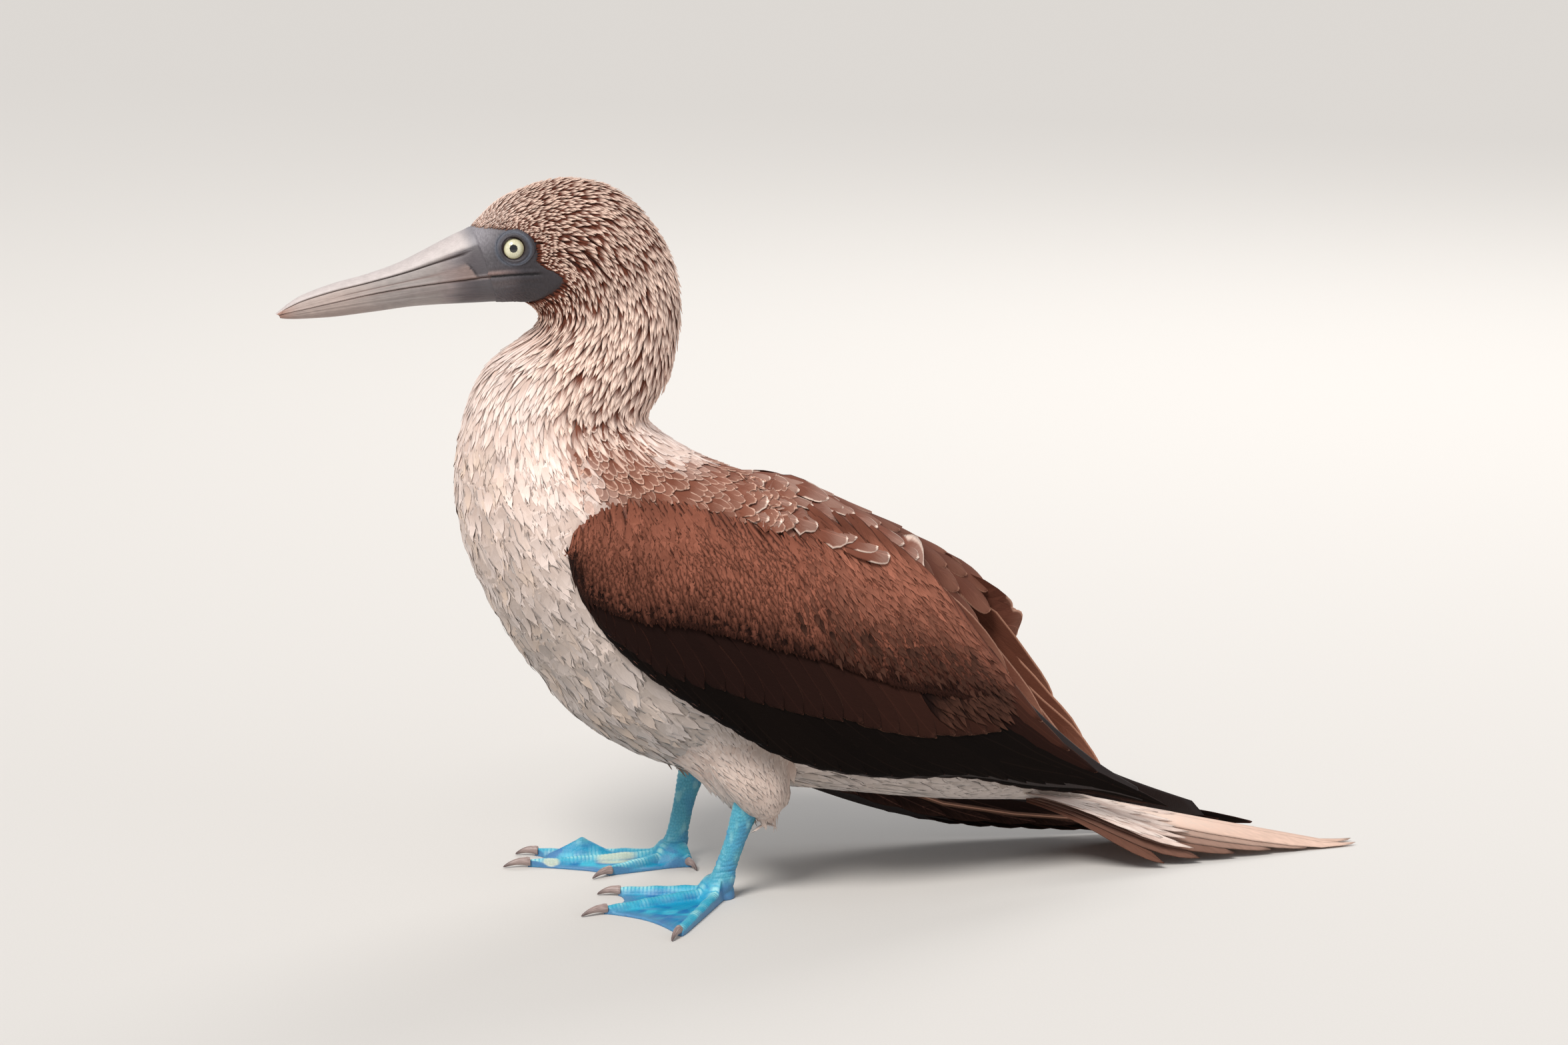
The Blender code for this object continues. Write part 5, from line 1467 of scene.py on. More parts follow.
def lid_ring(side):
    """The fleshy ring round an eye, with its fine ridges, from the eyeball out onto the face."""
    r, a = all_pairs(np.linspace(IRIS_RADIUS - 0.3, LID_RADIUS + 0.9, 52), ring(108))
    stretch = 1 + 0.035 * np.cos(2 * a) * ramp(r, 5.5, 8)
    x = LID_MIDDLE[0] + 1.4 * ramp(r, 5.3, 9) + r * stretch * np.cos(a)
    z = LID_MIDDLE[1] + r / stretch * np.sin(a)
    on_face, _, _, _ = BODY_SHEET.read(*nearest_body(x, z, side))
    ridges = 0.11 * np.sin((r + 0.12 * np.sin(3 * a) + 0.06 * np.sin(7 * a)) * TURN / 0.9)
    rise = 1.1 * bump(r, 6.4, 0.9) + 0.7 * bump(r, 8, 0.9) + ridges * ramp(r, 5.7, 6.4) * ramp(r, 9.2, 8.4)
    rise = rise + 0.06 * waves(np.stack((r * 2, np.cos(a) * 14, np.sin(a) * 14), -1), 3, 9)
    rise = rise - 0.8 * ramp(r, LID_RADIUS - 0.2, LID_RADIUS + 0.9)
    y = on_face[..., 1] + side * rise
    ball = side * (EYE_CENTRE[1] + np.sqrt(np.maximum(EYE_RADIUS ** 2 - r ** 2, 9)) + 0.1)
    y = y + (ball - y) * ramp(r, 6, 5.2)
    uv = np.stack((STRIP_LEFT[side] + STRIP_WIDTH * a / TURN, 0.88 + 0.1 * (r - 5) / 5), -1)
    return np.stack((x, y, z), -1).reshape(-1, 3), [grid_faces(*r.shape, wraps=True)], uv.reshape(-1, 2)


def nearest_body(x, z, side):
    """Body parameters of points of the head seen from the side."""
    u, v = np.full(x.shape, 1), np.full(x.shape, (1 - 0.5 * side) * math.pi)
    for _ in range(12):
        points, _, du, dv = BODY_SHEET.read(u, v)
        miss_x, miss_z = x - points[..., 0], z - points[..., 2]
        across = du[..., 0] * dv[..., 2] - du[..., 2] * dv[..., 0]
        across = np.where(np.abs(across) < 1e-3, 1e-3, across)
        step_u = (miss_x * dv[..., 2] - miss_z * dv[..., 0]) / across
        step_v = (miss_z * du[..., 0] - miss_x * du[..., 2]) / across
        u, v = u + 0.7 * np.clip(step_u, -0.4, 0.4), v + 0.7 * np.clip(step_v, -0.4, 0.4)
    return u, v


def wing_shell(side):
    """The wing's own body under its feathers, closed and narrowed at the rim."""
    u, v = all_pairs(np.linspace(0, 9.6, 97), np.linspace(0, 1, 31))
    outer, normal, _, _ = WING_SHEET[side].read(u, v)
    inner = outer.copy()
    thickness = catmull(WING[side], u)[..., 7] * (0.55 + 0.45 * 4 * v * (1 - v))
    within = np.minimum(v, 1 - v) * 14
    rim = ramp(np.minimum(within, u * 2.5), 0, 1)
    outer = outer - normal * spread(np.minimum(2.3, thickness * 0.55) * (0.5 + 0.5 * rim))
    inner[..., 1] -= side * thickness * (1 - 0.3 * (1 - rim))
    middle = ((outer + inner) / 2)[:, 15:16]
    shrink = spread(1 - 0.035 * (1 - ramp(within, 0, 1)))
    faces = [(middle + (face - middle) * shrink).reshape(-1, 3) for face in (outer, inner)]
    points = np.concatenate(faces)
    top = grid_faces(*u.shape)
    index = np.arange(u.size).reshape(u.shape)
    edge = np.concatenate((index[0], index[1:, -1], index[-1, -2::-1], index[-2:0:-1, 0]))
    following = np.roll(edge, -1)
    side_faces = np.stack((edge, following, following + u.size, edge + u.size), -1)
    uv = WING_SHEET[side].unwrap(u, v).reshape(-1, 2)
    inner_uv = (uv - (0, 0.01)) * (1, 0.4) + (0, 0.52)
    return points, [top, top[:, ::-1] + u.size, side_faces], np.concatenate((uv, inner_uv))


def thigh_shell(side):
    u, v = all_pairs(np.linspace(0, THIGH_DEPTH, 40), ring(48))
    points, normal, _, _ = THIGH_SHEET[side].read(u, v)
    points = points - normal * 1.5
    return points.reshape(-1, 3), tube_faces(*u.shape), THIGH_SHEET[side].unwrap(u, v).reshape(-1, 2)


BARE_LID, COVERED = 5, -9     # distances from the bare face's edge, as side_distance gives them


def make_skin():
    """One skin under the coat: head, neck and trunk with the bare face, wings and thighs."""
    points, faces, bare, colour, uv = body_skin()
    for build, bareness in ((lid_ring, BARE_LID), (wing_shell, COVERED), (thigh_shell, COVERED)):
        for _, side in SIDES:
            extra, quads, places = build(side)
            # The thighs' skin takes the belly's root colour, a white in painted shade.
            shade = {lid_ring: SLATE, thigh_shell: BELLY_SHADE_ROOT}.get(build)
            if shade is None:
                shade = blend(GREATER_ROOT, COVERT_ROOT, np.interp(extra[:, 2], (90, 150), (0, 1)))
            faces += [f + len(points) for f in quads]
            points = np.concatenate((points, extra))
            bare = np.concatenate((bare, np.full(len(extra), bareness)))
            colour = np.concatenate((colour, np.broadcast_to(shade, extra.shape)))
            uv = np.concatenate((uv, places))
    attributes = {"coat_colour": opaque(colour), "bare": ramp(bare, -1.5, -0.2),
                  "tint": opaque(face_tint(points))}
    item = put_mesh("skin", points, faces, attributes, uv, outward=True)
    return finish_piece(item, skin_material(),
                        ("head", "neck", "trunk", "thigh_left", "thigh_right", "wing_left", "wing_right"))


# Slate of face and bill by x, seen from the side, as screen values.
SLATE_RUN = ((-150, 156, 147, 144), (-139, 152, 143, 140), (-133.5, 140, 129, 128),
             (-129.4, 118, 110, 112), (-125, 94, 87, 90), (-120.9, 86, 80, 84), (-113, 90, 86, 90),
             (-104, 80, 76, 81), (-99.5, 69, 64, 69), (-95.4, 58, 54, 59), (-86, 54, 49, 53))
GAPE_FOLD, GAPE_LINE, FACE_FRONT = srgb(140, 116, 111), srgb(20, 16, 18), srgb(146, 142, 148)
LID_BLUE, LID_RIM = srgb(96, 104, 118), srgb(40, 24, 22)


def slate_at(x):
    colours = np.array([srgb(*row[1:]) for row in SLATE_RUN])
    places = [row[0] for row in SLATE_RUN]
    return np.stack([np.interp(x, places, channel) for channel in colours.T], -1)


def face_tint(points):
    """Colours of the bare face: slate, darker before the eye, a paler fold over the gape."""
    x, z = points[:, 0], points[:, 2]
    line, eye = table_value(GAPE, x), eye_distance(x, z)
    colour = slate_at(x)
    for tint, share in (
            (SLATE_DARK, 0.5 * bump(np.hypot((x + 107) / 6, (z - 333) / 5), 0, 1)),
            (GAPE_FOLD, 0.9 * bump(z, line + 1.7, 1.3) * ramp(x, -96, -111)),
            (GAPE_LINE, 0.9 * bump(z, line, 0.6) * ramp(x, -85, -92)),
            (SLATE_PALE, 0.25 * bump(z, line - 4, 2.5) * ramp(x, -96, -104) * ramp(x, -118, -108)),
            (FACE_FRONT, 0.95 * ramp(z, 328, 341) * ramp(x, -103, -119)),
            (LID_BLUE, 0.55 * bump(eye, 8.2, 0.9) * ramp(x, -85, -95)),
            (LID_RIM, ramp(eye, 5.9, 5.4))):
        colour = blend(colour, tint, share)
    return colour


def skin_material():
    s = Shader("skin", Roughness=0.5, Specular_IOR_Level=0.4)
    place = s.position()
    x, y, z = s.parts(place)
    wrinkles = s.noise(s.vector(s.times(x, 1.6), y, s.times(z, 0.5)), 1, 5, 0.62)
    specks = s.noise(place, 2.6, 2)
    light = s.math("MULTIPLY_ADD", s.step(specks, 0.68, 0.8), 0.5, s.around(wrinkles, 0.9))
    face = s.lit(s.attribute("tint", "Color"), light)
    colour = s.mix(s.attribute("bare", "Fac"), s.attribute("coat_colour", "Color"), face)
    return s.finish(colour, wrinkles, 0.3)


# ---------------------------------------------------------------- bill

BILL_END = len(BILL) - 1
BILL_RINGS, PALATE_POINTS = 340, 13
# Angles round a half at which the rings' points lie closer: at the edge and along the groove.
CLOSE_ANGLES = (3, 6, 14, 15, 16, 17, 35.5, 36.8, 37.6, 38.4, 39.2, 40, 40.8, 41.8, 43)
EDGE_GAP = 0.15                   # from the mouth line to each half's cutting edge
TOOTH_HEIGHT, TEETH_PER_STATION = 0.32, 16.5
BASE_HALF_WIDTH, BASE_NARROWING = 15.12, 0.33
BILL_MIDDLE, BILL_TIP, BILL_EDGE, MOUTH = (srgb(182, 163, 155), srgb(164, 124, 110), srgb(96, 70, 62),
                                           srgb(58, 34, 32))
RIDGE_BASE, RIDGE, GROOVE, FINE_GROOVE = (srgb(142, 138, 143), srgb(200, 190, 188), srgb(46, 30, 28),
                                          srgb(112, 84, 76))
HORN, HORN_EDGE, BILL_UNDER = srgb(146, 126, 120), srgb(34, 28, 30), srgb(120, 96, 90)


def bill_width(station, angle, height, half):
    """Half-widths of the rings, which widen at the base until they meet the head."""
    head = BASE_HALF_WIDTH * np.sqrt(np.maximum(1 - (2 * height - 1) ** 2, 0))
    head = head * (1 - BASE_NARROWING * np.maximum(station, 0))
    width = spread(half) * np.abs(np.cos(angle)) ** 0.92
    return width + (head - width) * ramp(station, 0.95, 0) - 0.5 * ramp(station, -0.05, -0.10)


def bill_half(upper):
    """Rings of one half of the bill and their colours; each runs over the horn and back inside."""
    line = np.linspace(-0.10, BILL_END, BILL_RINGS)
    top_x, top_z, mouth_x, mouth_z, low_x, low_z, half = curves(BILL, np.maximum(line, 0))
    mouth = np.stack((mouth_x, 0 * mouth_x, mouth_z), -1)
    reach = np.stack((top_x, 0 * top_x, top_z) if upper else (low_x, 0 * low_x, low_z), -1) - mouth
    depth = np.linalg.norm(reach, axis=-1)
    reach = (reach / spread(depth))[:, None]
    close = np.radians(CLOSE_ANGLES)
    angle = np.unique(np.concatenate((np.linspace(0, math.pi, 61), close, math.pi - close)))
    share = np.sin(angle)
    station = np.broadcast_to(spread(line), (BILL_RINGS, len(angle)))
    mouth_share = spread((mouth_z - low_z) / (top_z - low_z))
    height = mouth_share + (1 - mouth_share) * share if upper else mouth_share * (1 - share)
    width = bill_width(station, angle, height, half)
    rise = bill_relief(station, share, upper) * ramp(station, 0.02, 0.35)
    saw = 1 - np.abs((line * TEETH_PER_STATION) % 1 * 2 - 1)
    teeth = spread(TOOTH_HEIGHT * saw * ramp(line, 2.8, 3.6) * ramp(line, 6.6, 6)) * bump(share, 0, 0.05)
    level = EDGE_GAP + (spread(depth) - EDGE_GAP) * share + rise * share - teeth
    points = mouth[:, None] + reach * spread(level)
    points[..., 1] = np.sign(np.cos(angle)) * (width + rise * np.abs(np.cos(angle)))
    points[..., 0] += 2.2 * ramp(station, 0, -0.10)
    inside = np.linspace(1, -1, PALATE_POINTS + 2)[1:-1]
    vault = EDGE_GAP + 0.8 * (1 - inside ** 2) * spread(ramp(line, 6.8, 5))
    palate = mouth[:, None] + reach * spread(vault)
    palate[..., 1] = -inside * np.abs(points[:, :1, 1]) * 0.98
    shade = bill_colours(station, share, upper, points)
    return (np.concatenate((points, palate), 1),
            np.concatenate((shade, np.broadcast_to(MOUTH, palate.shape)), 1))


def groove_at(station):
    """Share of the upper half's height at which the long groove under the ridge runs."""
    return 0.60 + 0.05 * ramp(station, 0, 3)


def bill_relief(station, share, upper):
    """Grooves between the bill's plates, the flare of the cutting edge, and fine lines."""
    lines = 0.05 * np.sin(share * 70 + 2 * np.sin(station * 1.7)) * ramp(station, 6.6, 5.5)
    lines = lines + 0.04 * np.sin(share * 151 + 3 * np.sin(station * 2.3)) * ramp(station, 2.5, 0.5)
    flare = 0.35 * bump(share, 0.035, 0.05) * ramp(station, 0.2, 1)
    if not upper:
        keel = bump(share, 0.42 + 0.05 * np.sin(station), 0.05)
        return lines + flare * 0.6 - 0.35 * keel * ramp(station, 0.6, 1.8) * ramp(station, 6.3, 5.2)
    middle = groove_at(station)
    groove = 0.28 * ramp(share, middle + 0.02, middle + 0.10) - 0.95 * bump(share, middle, 0.02)
    groove = groove * ramp(station, 0.15, 0.5) * ramp(station, 6.5, 5.9)
    second = -0.22 * bump(share, 0.27, 0.03) * ramp(station, 0.4, 1.2) * ramp(station, 4.6, 3.2)
    nail = -0.25 * bump(station, 6.15 + 0.5 * (1 - share), 0.05)
    sheath = 0.28 * ramp(station - sheath_edge(share), -0.012, 0.012)
    sheath = sheath * ramp(share, 0.42, 0.3) * ramp(station, 1.2, 0.5)
    return lines + flare * ramp(station, 0.2, 0.6) + groove + second + nail + sheath


def sheath_edge(share):
    """Station of the ragged rear edge of the horn over the gape."""
    return 0.22 + 0.5 * share + 0.02 * np.sin(share * 61) + 0.012 * np.sin(share * 140)


def bill_colours(station, share, upper, points):
    """Slate at the base, pinkish grey along the middle, browner at the tip, pale on the ridge."""
    streak = 0.35 * np.sin(share * 23 + 1) + 0.25 * np.sin(share * 57) + 0.2 * waves(points, 7, 8)
    colour = slate_at(points[..., 0] + 3 * streak * ramp(station, 0.1, 0.8))
    edge = sheath_edge(share)
    whole = ((BILL_MIDDLE, 0.8 * ramp(station, 2.2, 4.2)), (BILL_TIP, 0.85 * ramp(station, 5, 6.8)))
    over = (
        (blend(RIDGE_BASE, RIDGE, ramp(station, 0, 0.4)), 0.95 * ramp(share, 0.66, 0.72)),
        (GROOVE, 0.95 * bump(share, groove_at(station), 0.026) * ramp(station, 0.15, 0.6)
         * ramp(station, 6.6, 5.9)),
        (FINE_GROOVE, 0.5 * bump(share, 0.27, 0.04) * ramp(station, 0.6, 1.4) * ramp(station, 4.6, 3.2)),
        (HORN, 0.8 * ramp(station - edge, -0.01, 0.02) * ramp(share, 0.45, 0.25) * ramp(station, 1.6, 0.4)),
        (HORN_EDGE, 0.7 * bump(station, edge - 0.03, 0.03) * ramp(share, 0.42, 0.3)))
    under = (
        (SLATE_PALE, 0.5 * bump(share, 0.30, 0.18) * ramp(station, 3, 1.4) * ramp(station, 0.3, 1.2)),
        (BILL_UNDER, 0.35 * ramp(station, 1.5, 4) * ramp(share, 0.2, 0.9)))
    for tint, amount in (*whole, *(over if upper else under), (BILL_EDGE, 0.7 * bump(share, 0, 0.05))):
        colour = blend(colour, tint, amount)
    return colour


def bill_material():
    s = Shader("bill_horn", Roughness=0.42, Specular_IOR_Level=0.45)
    x, y, z = s.parts(s.position())
    grain = s.noise(s.vector(s.times(x, 0.12), s.times(y, 1.2), s.times(z, 1.5)), 1.6, 5, 0.6)
    blotch = s.noise(s.position(), 0.22, 3)
    colour = s.lit(s.attribute("horn", "Color"), s.around(blotch, 0.35, s.around(grain, 0.55)))
    return s.finish(colour, grain, 0.12, s.math("MULTIPLY_ADD", grain, 0.25, 0.34))


def make_bill():
    material = bill_material()
    for name, upper in (("upper", True), ("lower", False)):
        rings, shade = bill_half(upper)
        item = put_mesh("horn_bill_" + name, rings.reshape(-1, 3), tube_faces(*rings.shape[:2]),
                        {"horn": opaque(shade.reshape(-1, 3))}, smooth=[True, False, True], outward=True)
        finish_piece(item, material, ("bill_" + name,))


# ---------------------------------------------------------------- eyes

IRIS_PALE, IRIS_LIGHT, IRIS_WARM = srgb(208, 203, 166), srgb(234, 229, 202), srgb(206, 198, 152)
PUPIL, IRIS_RIM = (0.002, 0.002, 0.002), srgb(58, 28, 20)


def make_eye(name, side):
    """An eyeball with a slightly raised cornea; its rings run back from the pupil."""
    axis, centre = EYE_AXIS * (1, side, 1), np.array(EYE_CENTRE) * (1, side, 1)
    up = unit(np.array((0, 0, 1)) - axis * axis[2])
    t, a = all_pairs(np.concatenate((np.linspace(0.012, 0.9, 50), np.linspace(0.95, 3.12, 26))), ring(96))
    off = EYE_RADIUS * np.sin(t)
    front = EYE_RADIUS * np.cos(t) + 0.32 * ramp(t, 0.82, 0.2)
    points = centre + axis * spread(front) + up * spread(off * np.sin(a)) \
        + np.cross(axis, up) * spread(off * np.cos(a))
    disc = np.stack((off * np.cos(a), off * np.sin(a), np.where(t > 1.6, 9, off)), -1)
    item = put_mesh("ball_" + name, points.reshape(-1, 3), tube_faces(*t.shape),
                    {"disc": disc.reshape(-1, 3)}, outward=True)
    return finish_piece(item, eye_material(name), (name,))


def eye_material(name):
    """Pale yellow iris with fibres that run out from a ragged pupil, and a dark rim."""
    s = Shader(name, Roughness=0.06, Specular_IOR_Level=0.6, Coat_Weight=1, Coat_Roughness=0.02)
    across, high, far = s.parts(s.attribute("disc"))
    rays = s.node("VectorMath", {0: s.vector(across, high, 0)}, operation="NORMALIZE").outputs[0]
    rays = s.node("VectorMath", {0: rays, 3: 7}, operation="SCALE").outputs[0]
    run = s.vector(0, 0, s.times(far, 0.5))
    fibre = s.noise(s.node("VectorMath", {0: rays, 1: run}, operation="ADD").outputs[0], 1, 4, 0.65)
    iris = s.mix(s.step(fibre, 0.25, 0.75), IRIS_PALE, IRIS_LIGHT)
    iris = s.mix(s.step(far, 3.6, 5, 0, 0.6), iris, IRIS_WARM)
    ragged = s.around(fibre, 1.3, far)
    colour = s.mix(s.step(ragged, PUPIL_RADIUS - 0.1, PUPIL_RADIUS + 0.12), PUPIL, iris)
    return s.finish(s.mix(s.step(far, IRIS_RADIUS - 0.42, IRIS_RADIUS - 0.12), colour, IRIS_RIM))


# ---------------------------------------------------------------- legs, webbed feet and claws

WEB_THICKNESS, TOE_HALF_WIDTH = 1.3, 2.9
TOE_HEIGHTS, TOE_TAPER_LENGTH = (5.4, 2.9), 62.0
ANKLE_RADIUS, ANKLE_HEIGHT = 6.6, 11.3
WEB_FOLD = (12, 49, 25, 4)     # height, middle from the ankle, half-length, half-width
RAYS, RAY_POINTS = 720, 100
TOE_JOINTS = (0.36, 0.64, 0.88)        # as shares of a toe's length
VOXEL, RELAXING = 0.42, 3
SCALES = 64                            # scales along a side of the square that cells() repeats

WEB, WEB_LIGHT, WEB_DEEP, WEB_GREY = (srgb(12, 146, 188), srgb(58, 180, 208), srgb(12, 98, 170),
                                      srgb(86, 136, 184))
# TOE_HIGHLIGHT is a painted highlight on the crests of the toes' plates.
WEB_MARGIN, TOE, TOE_HIGHLIGHT, TOE_JOIN = (srgb(82, 128, 172), srgb(48, 166, 196), srgb(168, 224, 224),
                                       srgb(28, 136, 176))
SHANK, SHANK_SCALE, SHANK_BLUE, SHANK_PALE = (srgb(66, 150, 176), srgb(104, 184, 200),
                                              srgb(58, 132, 182), srgb(150, 206, 208))
WORN_PATCH, SOLE_SHADE, GRIME = srgb(206, 212, 188), srgb(44, 84, 96), srgb(196, 204, 190)
CLAW_DARK, CLAW_PALE, CLAW_END = srgb(132, 112, 108), srgb(180, 160, 154), srgb(96, 80, 78)


def toe_direction(toe):
    """Unit step along a toe, ahead being -x and outwards +y."""
    return np.array((-math.cos(math.radians(toe[0])), math.sin(math.radians(toe[0]))))


def web_reach(toes, angle):
    """Reach of a foot from its ankle in directions given in degrees outwards."""
    edges = np.clip(angle, toes[0][0], toes[-1][0])
    reach = np.zeros(angle.shape)
    for (low, short), (high, far) in zip(toes, toes[1:]):
        a, b = np.radians(edges - low), np.radians(high - edges)
        share = np.clip((edges - low) / (high - low), 0, 1)
        spans = short * np.sin(np.abs(a)) + far * np.sin(np.abs(b))
        straight = short * far * math.sin(math.radians(high - low)) / np.maximum(spans, 1e-6)
        hollow = 1 - WEB_HOLLOW * np.sin(math.pi * share) ** 0.7
        reach = np.where((edges >= low) & (edges <= high), straight * hollow, reach)
    length = np.where(angle < 0, toes[0][1], toes[-1][1])
    turn = np.radians(np.clip(np.abs(angle - edges), 1e-6, 90))
    outside = np.maximum(ANKLE_RADIUS, np.minimum(length, TOE_HALF_WIDTH / np.sin(turn)))
    return np.where(angle == edges, reach, outside)


def toe_places(toes, x, y):
    """Distance along and beside every toe, for points measured from the ankle."""
    for toe in toes:
        forward = toe_direction(toe)
        yield toe, x * forward[0] + y * forward[1], x * forward[1] - y * forward[0]


def web_fold(toes, x, y):
    """Height of the fold that stands up in the right foot's outer web."""
    rise, middle, half_length, half_width = WEB_FOLD
    outer = math.radians((toes[2][0] + toes[3][0]) / 2)
    beside = x * math.sin(outer) + y * math.cos(outer)
    out = y * math.sin(outer) - x * math.cos(outer)
    along = np.maximum(1 - np.abs(out - middle) / half_length, 0) ** 1.2
    return rise * along * bump(beside, 0, half_width)


def foot_top(toes, x, y, folded):
    """Height of a foot's upper side: rippled web, knuckled toes, ankle and fold."""
    radius, angle = np.hypot(x, y), np.arctan2(y, -x)
    height = WEB_THICKNESS + 0.25 * np.sin(angle * 34) * ramp(radius, 14, 30) \
        + 0.12 * np.sin(angle * 71 + 1.3) * ramp(radius, 18, 34)
    ridge = TOE_HEIGHTS[0] + (TOE_HEIGHTS[1] - TOE_HEIGHTS[0]) * np.minimum(radius / TOE_TAPER_LENGTH, 1)
    for (_, length), along, beside in toe_places(toes, x, y):
        knuckle = sum(bump(along, length * share, 3.4) for share in TOE_JOINTS)
        width = TOE_HALF_WIDTH * (1 + 0.13 * knuckle) * (1 - 0.2 * ramp(along, 0.5 * length, length))
        rise = ridge * (1 + 0.08 * knuckle) * (along > 0)
        body = np.sqrt(np.maximum(1 - (beside / (1.15 * width)) ** 2, 0))
        profile = 0.35 * bump(beside, 0, width * 1.2) + 0.62 * body
        height = np.maximum(height, WEB_THICKNESS + rise * profile)
    ankle = ANKLE_HEIGHT * bump(np.maximum(radius - ANKLE_RADIUS, 0), 0, 7)
    height = np.minimum(np.maximum(height, ankle), ANKLE_HEIGHT)
    if folded:
        height = np.maximum(height, WEB_THICKNESS + web_fold(toes, x, y))
    return height


def foot_body(side):
    """A closed webbed foot drawn on close rays, flat beneath."""
    (ankle_x, ankle_y), toes = FOOT[side]
    turn = np.linspace(-180, 180, RAYS, endpoint=False)
    first, last = toes[0][0], toes[-1][0]
    middle = (first + last) / 2
    angle = (turn - middle + 180) % 360 - 180 + middle
    reach = spread(web_reach(toes, angle))
    share = np.linspace(0.01, 1, RAY_POINTS) ** 0.9
    x, y = (spread(step) * reach * share for step in (-np.cos(np.radians(turn)), np.sin(np.radians(turn))))
    behind = spread(np.clip((np.abs(angle - middle) - (last - first) / 2) / 30, 0, 1))
    rim = np.clip((1 - share) * reach / (1.2 + 4.8 * behind), 0, 1)
    z = 0.25 + (foot_top(toes, x, y, side == RIGHT) - 0.25) * np.sqrt(1 - (1 - rim) ** 2)
    upper = np.stack((ankle_x + x, side * (ankle_y + y), z), -1).reshape(-1, 3)
    index = np.arange(RAYS * RAY_POINTS).reshape(RAYS, RAY_POINTS)
    seam = np.stack((index[-1, :-1], index[0, :-1], index[0, 1:], index[-1, 1:]), -1)
    top = np.concatenate((grid_faces(RAYS, RAY_POINTS), seam))
    rim_a, rim_b = index[:, -1], np.roll(index[:, -1], -1)
    wall = np.stack((rim_a, rim_b, rim_b + index.size, rim_a + index.size), -1)
    hub = index[:, 0][None]
    return (np.concatenate((upper, upper * (1, 1, 0))),
            [top, top[:, ::-1] + index.size, wall, hub, hub[:, ::-1] + index.size])


def tarsus_body(side):
    """The shank from inside the thigh down into the ankle, which takes two more rings."""
    _, x, _, y, _ = TARSUS[side][0]
    rows = ((3, x - 1.4, 5.2, y, 4.6), (7, x - 0.8, 6.4, y, 5.2)) + TARSUS[side]
    u, v = all_pairs(np.linspace(0, len(rows) - 1, 110), ring(72))
    height, x, half_length, y, half_width = curves(rows, u)
    points = np.stack((x + half_length * np.cos(v), side * (y + half_width * np.sin(v)), height), -1)
    return points.reshape(-1, 3), tube_faces(*u.shape)


def read_numbers(items, field, size, kind):
    """One value or several of every vertex, corner or face of a mesh."""
    numbers = np.zeros(len(items) * size, kind)
    items.foreach_get(field, numbers)
    return numbers


def fused(bodies):
    """Points, normals and quads of one closed mesh grown together from overlapping ones."""
    points, faces = np.zeros((0, 3)), []
    for extra, quads in bodies:
        faces += [f + len(points) for f in quads]
        points = np.concatenate((points, extra))
    item = put_mesh("growing", points, faces, outward=True)
    remesh = item.modifiers.new("grown together", "REMESH")
    remesh.mode = "VOXEL"
    remesh.voxel_size = VOXEL * MM
    relax = item.modifiers.new("relaxed", "SMOOTH")
    relax.factor = 0.5
    relax.iterations = RELAXING
    mesh = item.evaluated_get(bpy.context.evaluated_depsgraph_get()).data
    points = read_numbers(mesh.vertices, "co", 3, np.float32).reshape(-1, 3)
    normals = read_numbers(mesh.vertex_normals, "vector", 3, np.float32).reshape(-1, 3)
    quads = read_numbers(mesh.loops, "vertex_index", 1, np.int32).reshape(-1, 4)
    bpy.data.objects.remove(item, do_unlink=True)
    return points / MM - SHIFT, normals, quads


def cells(u, v, seed):
    """Share from 0 on a border to 1 within of irregular scales one unit wide."""
    nudge = np.random.default_rng(seed).uniform(-0.33, 0.33, (SCALES, SCALES, 2))
    base_u, base_v = np.floor(u).astype(int), np.floor(v).astype(int)
    first, second = np.full(u.shape, 9), np.full(u.shape, 9)
    for i in (-1, 0, 1):
        for j in (-1, 0, 1):
            a, b = base_u + i, base_v + j
            spot = nudge[a % SCALES, b % SCALES]
            stagger = 0.25 * (b % 2)
            distance = np.hypot(u - a - 0.5 - stagger - spot[..., 0], v - b - 0.5 - spot[..., 1])
            second = np.minimum(np.maximum(distance, first), second)
            first = np.minimum(first, distance)
    return np.clip((second - first) * 2.2, 0, 1)


def mottled(colour, points, marks):
    """A colour with soft patches: each a colour, its share, stretch along x, size, seed and edges."""
    for tint, share, stretch, size, seed, low, high in marks:
        colour = blend(colour, tint, share * ramp(waves(points * (stretch, 1, 1), size, seed), low, high))
    return colour


def shank_scales(points, x, y, z):
    """Relief and colour of the shank: small scales behind and bands of plates in front."""
    turn = np.arctan2(y - 2, x - (z - 11.6) * 0.27)
    mosaic = cells(turn * 3.4 + 40, z / 1.55, 2)
    bands = np.abs(np.sin(z * math.pi / 2.6)) ** 0.5
    front = ramp(np.abs(turn), 2.3, 2.8)
    rise = 0.17 * mosaic * (1 - front) + 0.26 * bands * front + 0.12 * waves(points * (1, 1, 2.2), 5, 17)
    rise = rise - 0.35 * ramp(z, 24, 15) * bump(np.sin(z * 2.1 + turn), 1, 0.35)
    colour = mottled(blend(SHANK, SHANK_SCALE, mosaic * 0.5), points,
                     ((SHANK_BLUE, 0.55, 1, 12, 15, -0.2, 1), (SHANK_PALE, 0.5, 1, 8, 16, 0.3, 1.2)))
    return rise, colour


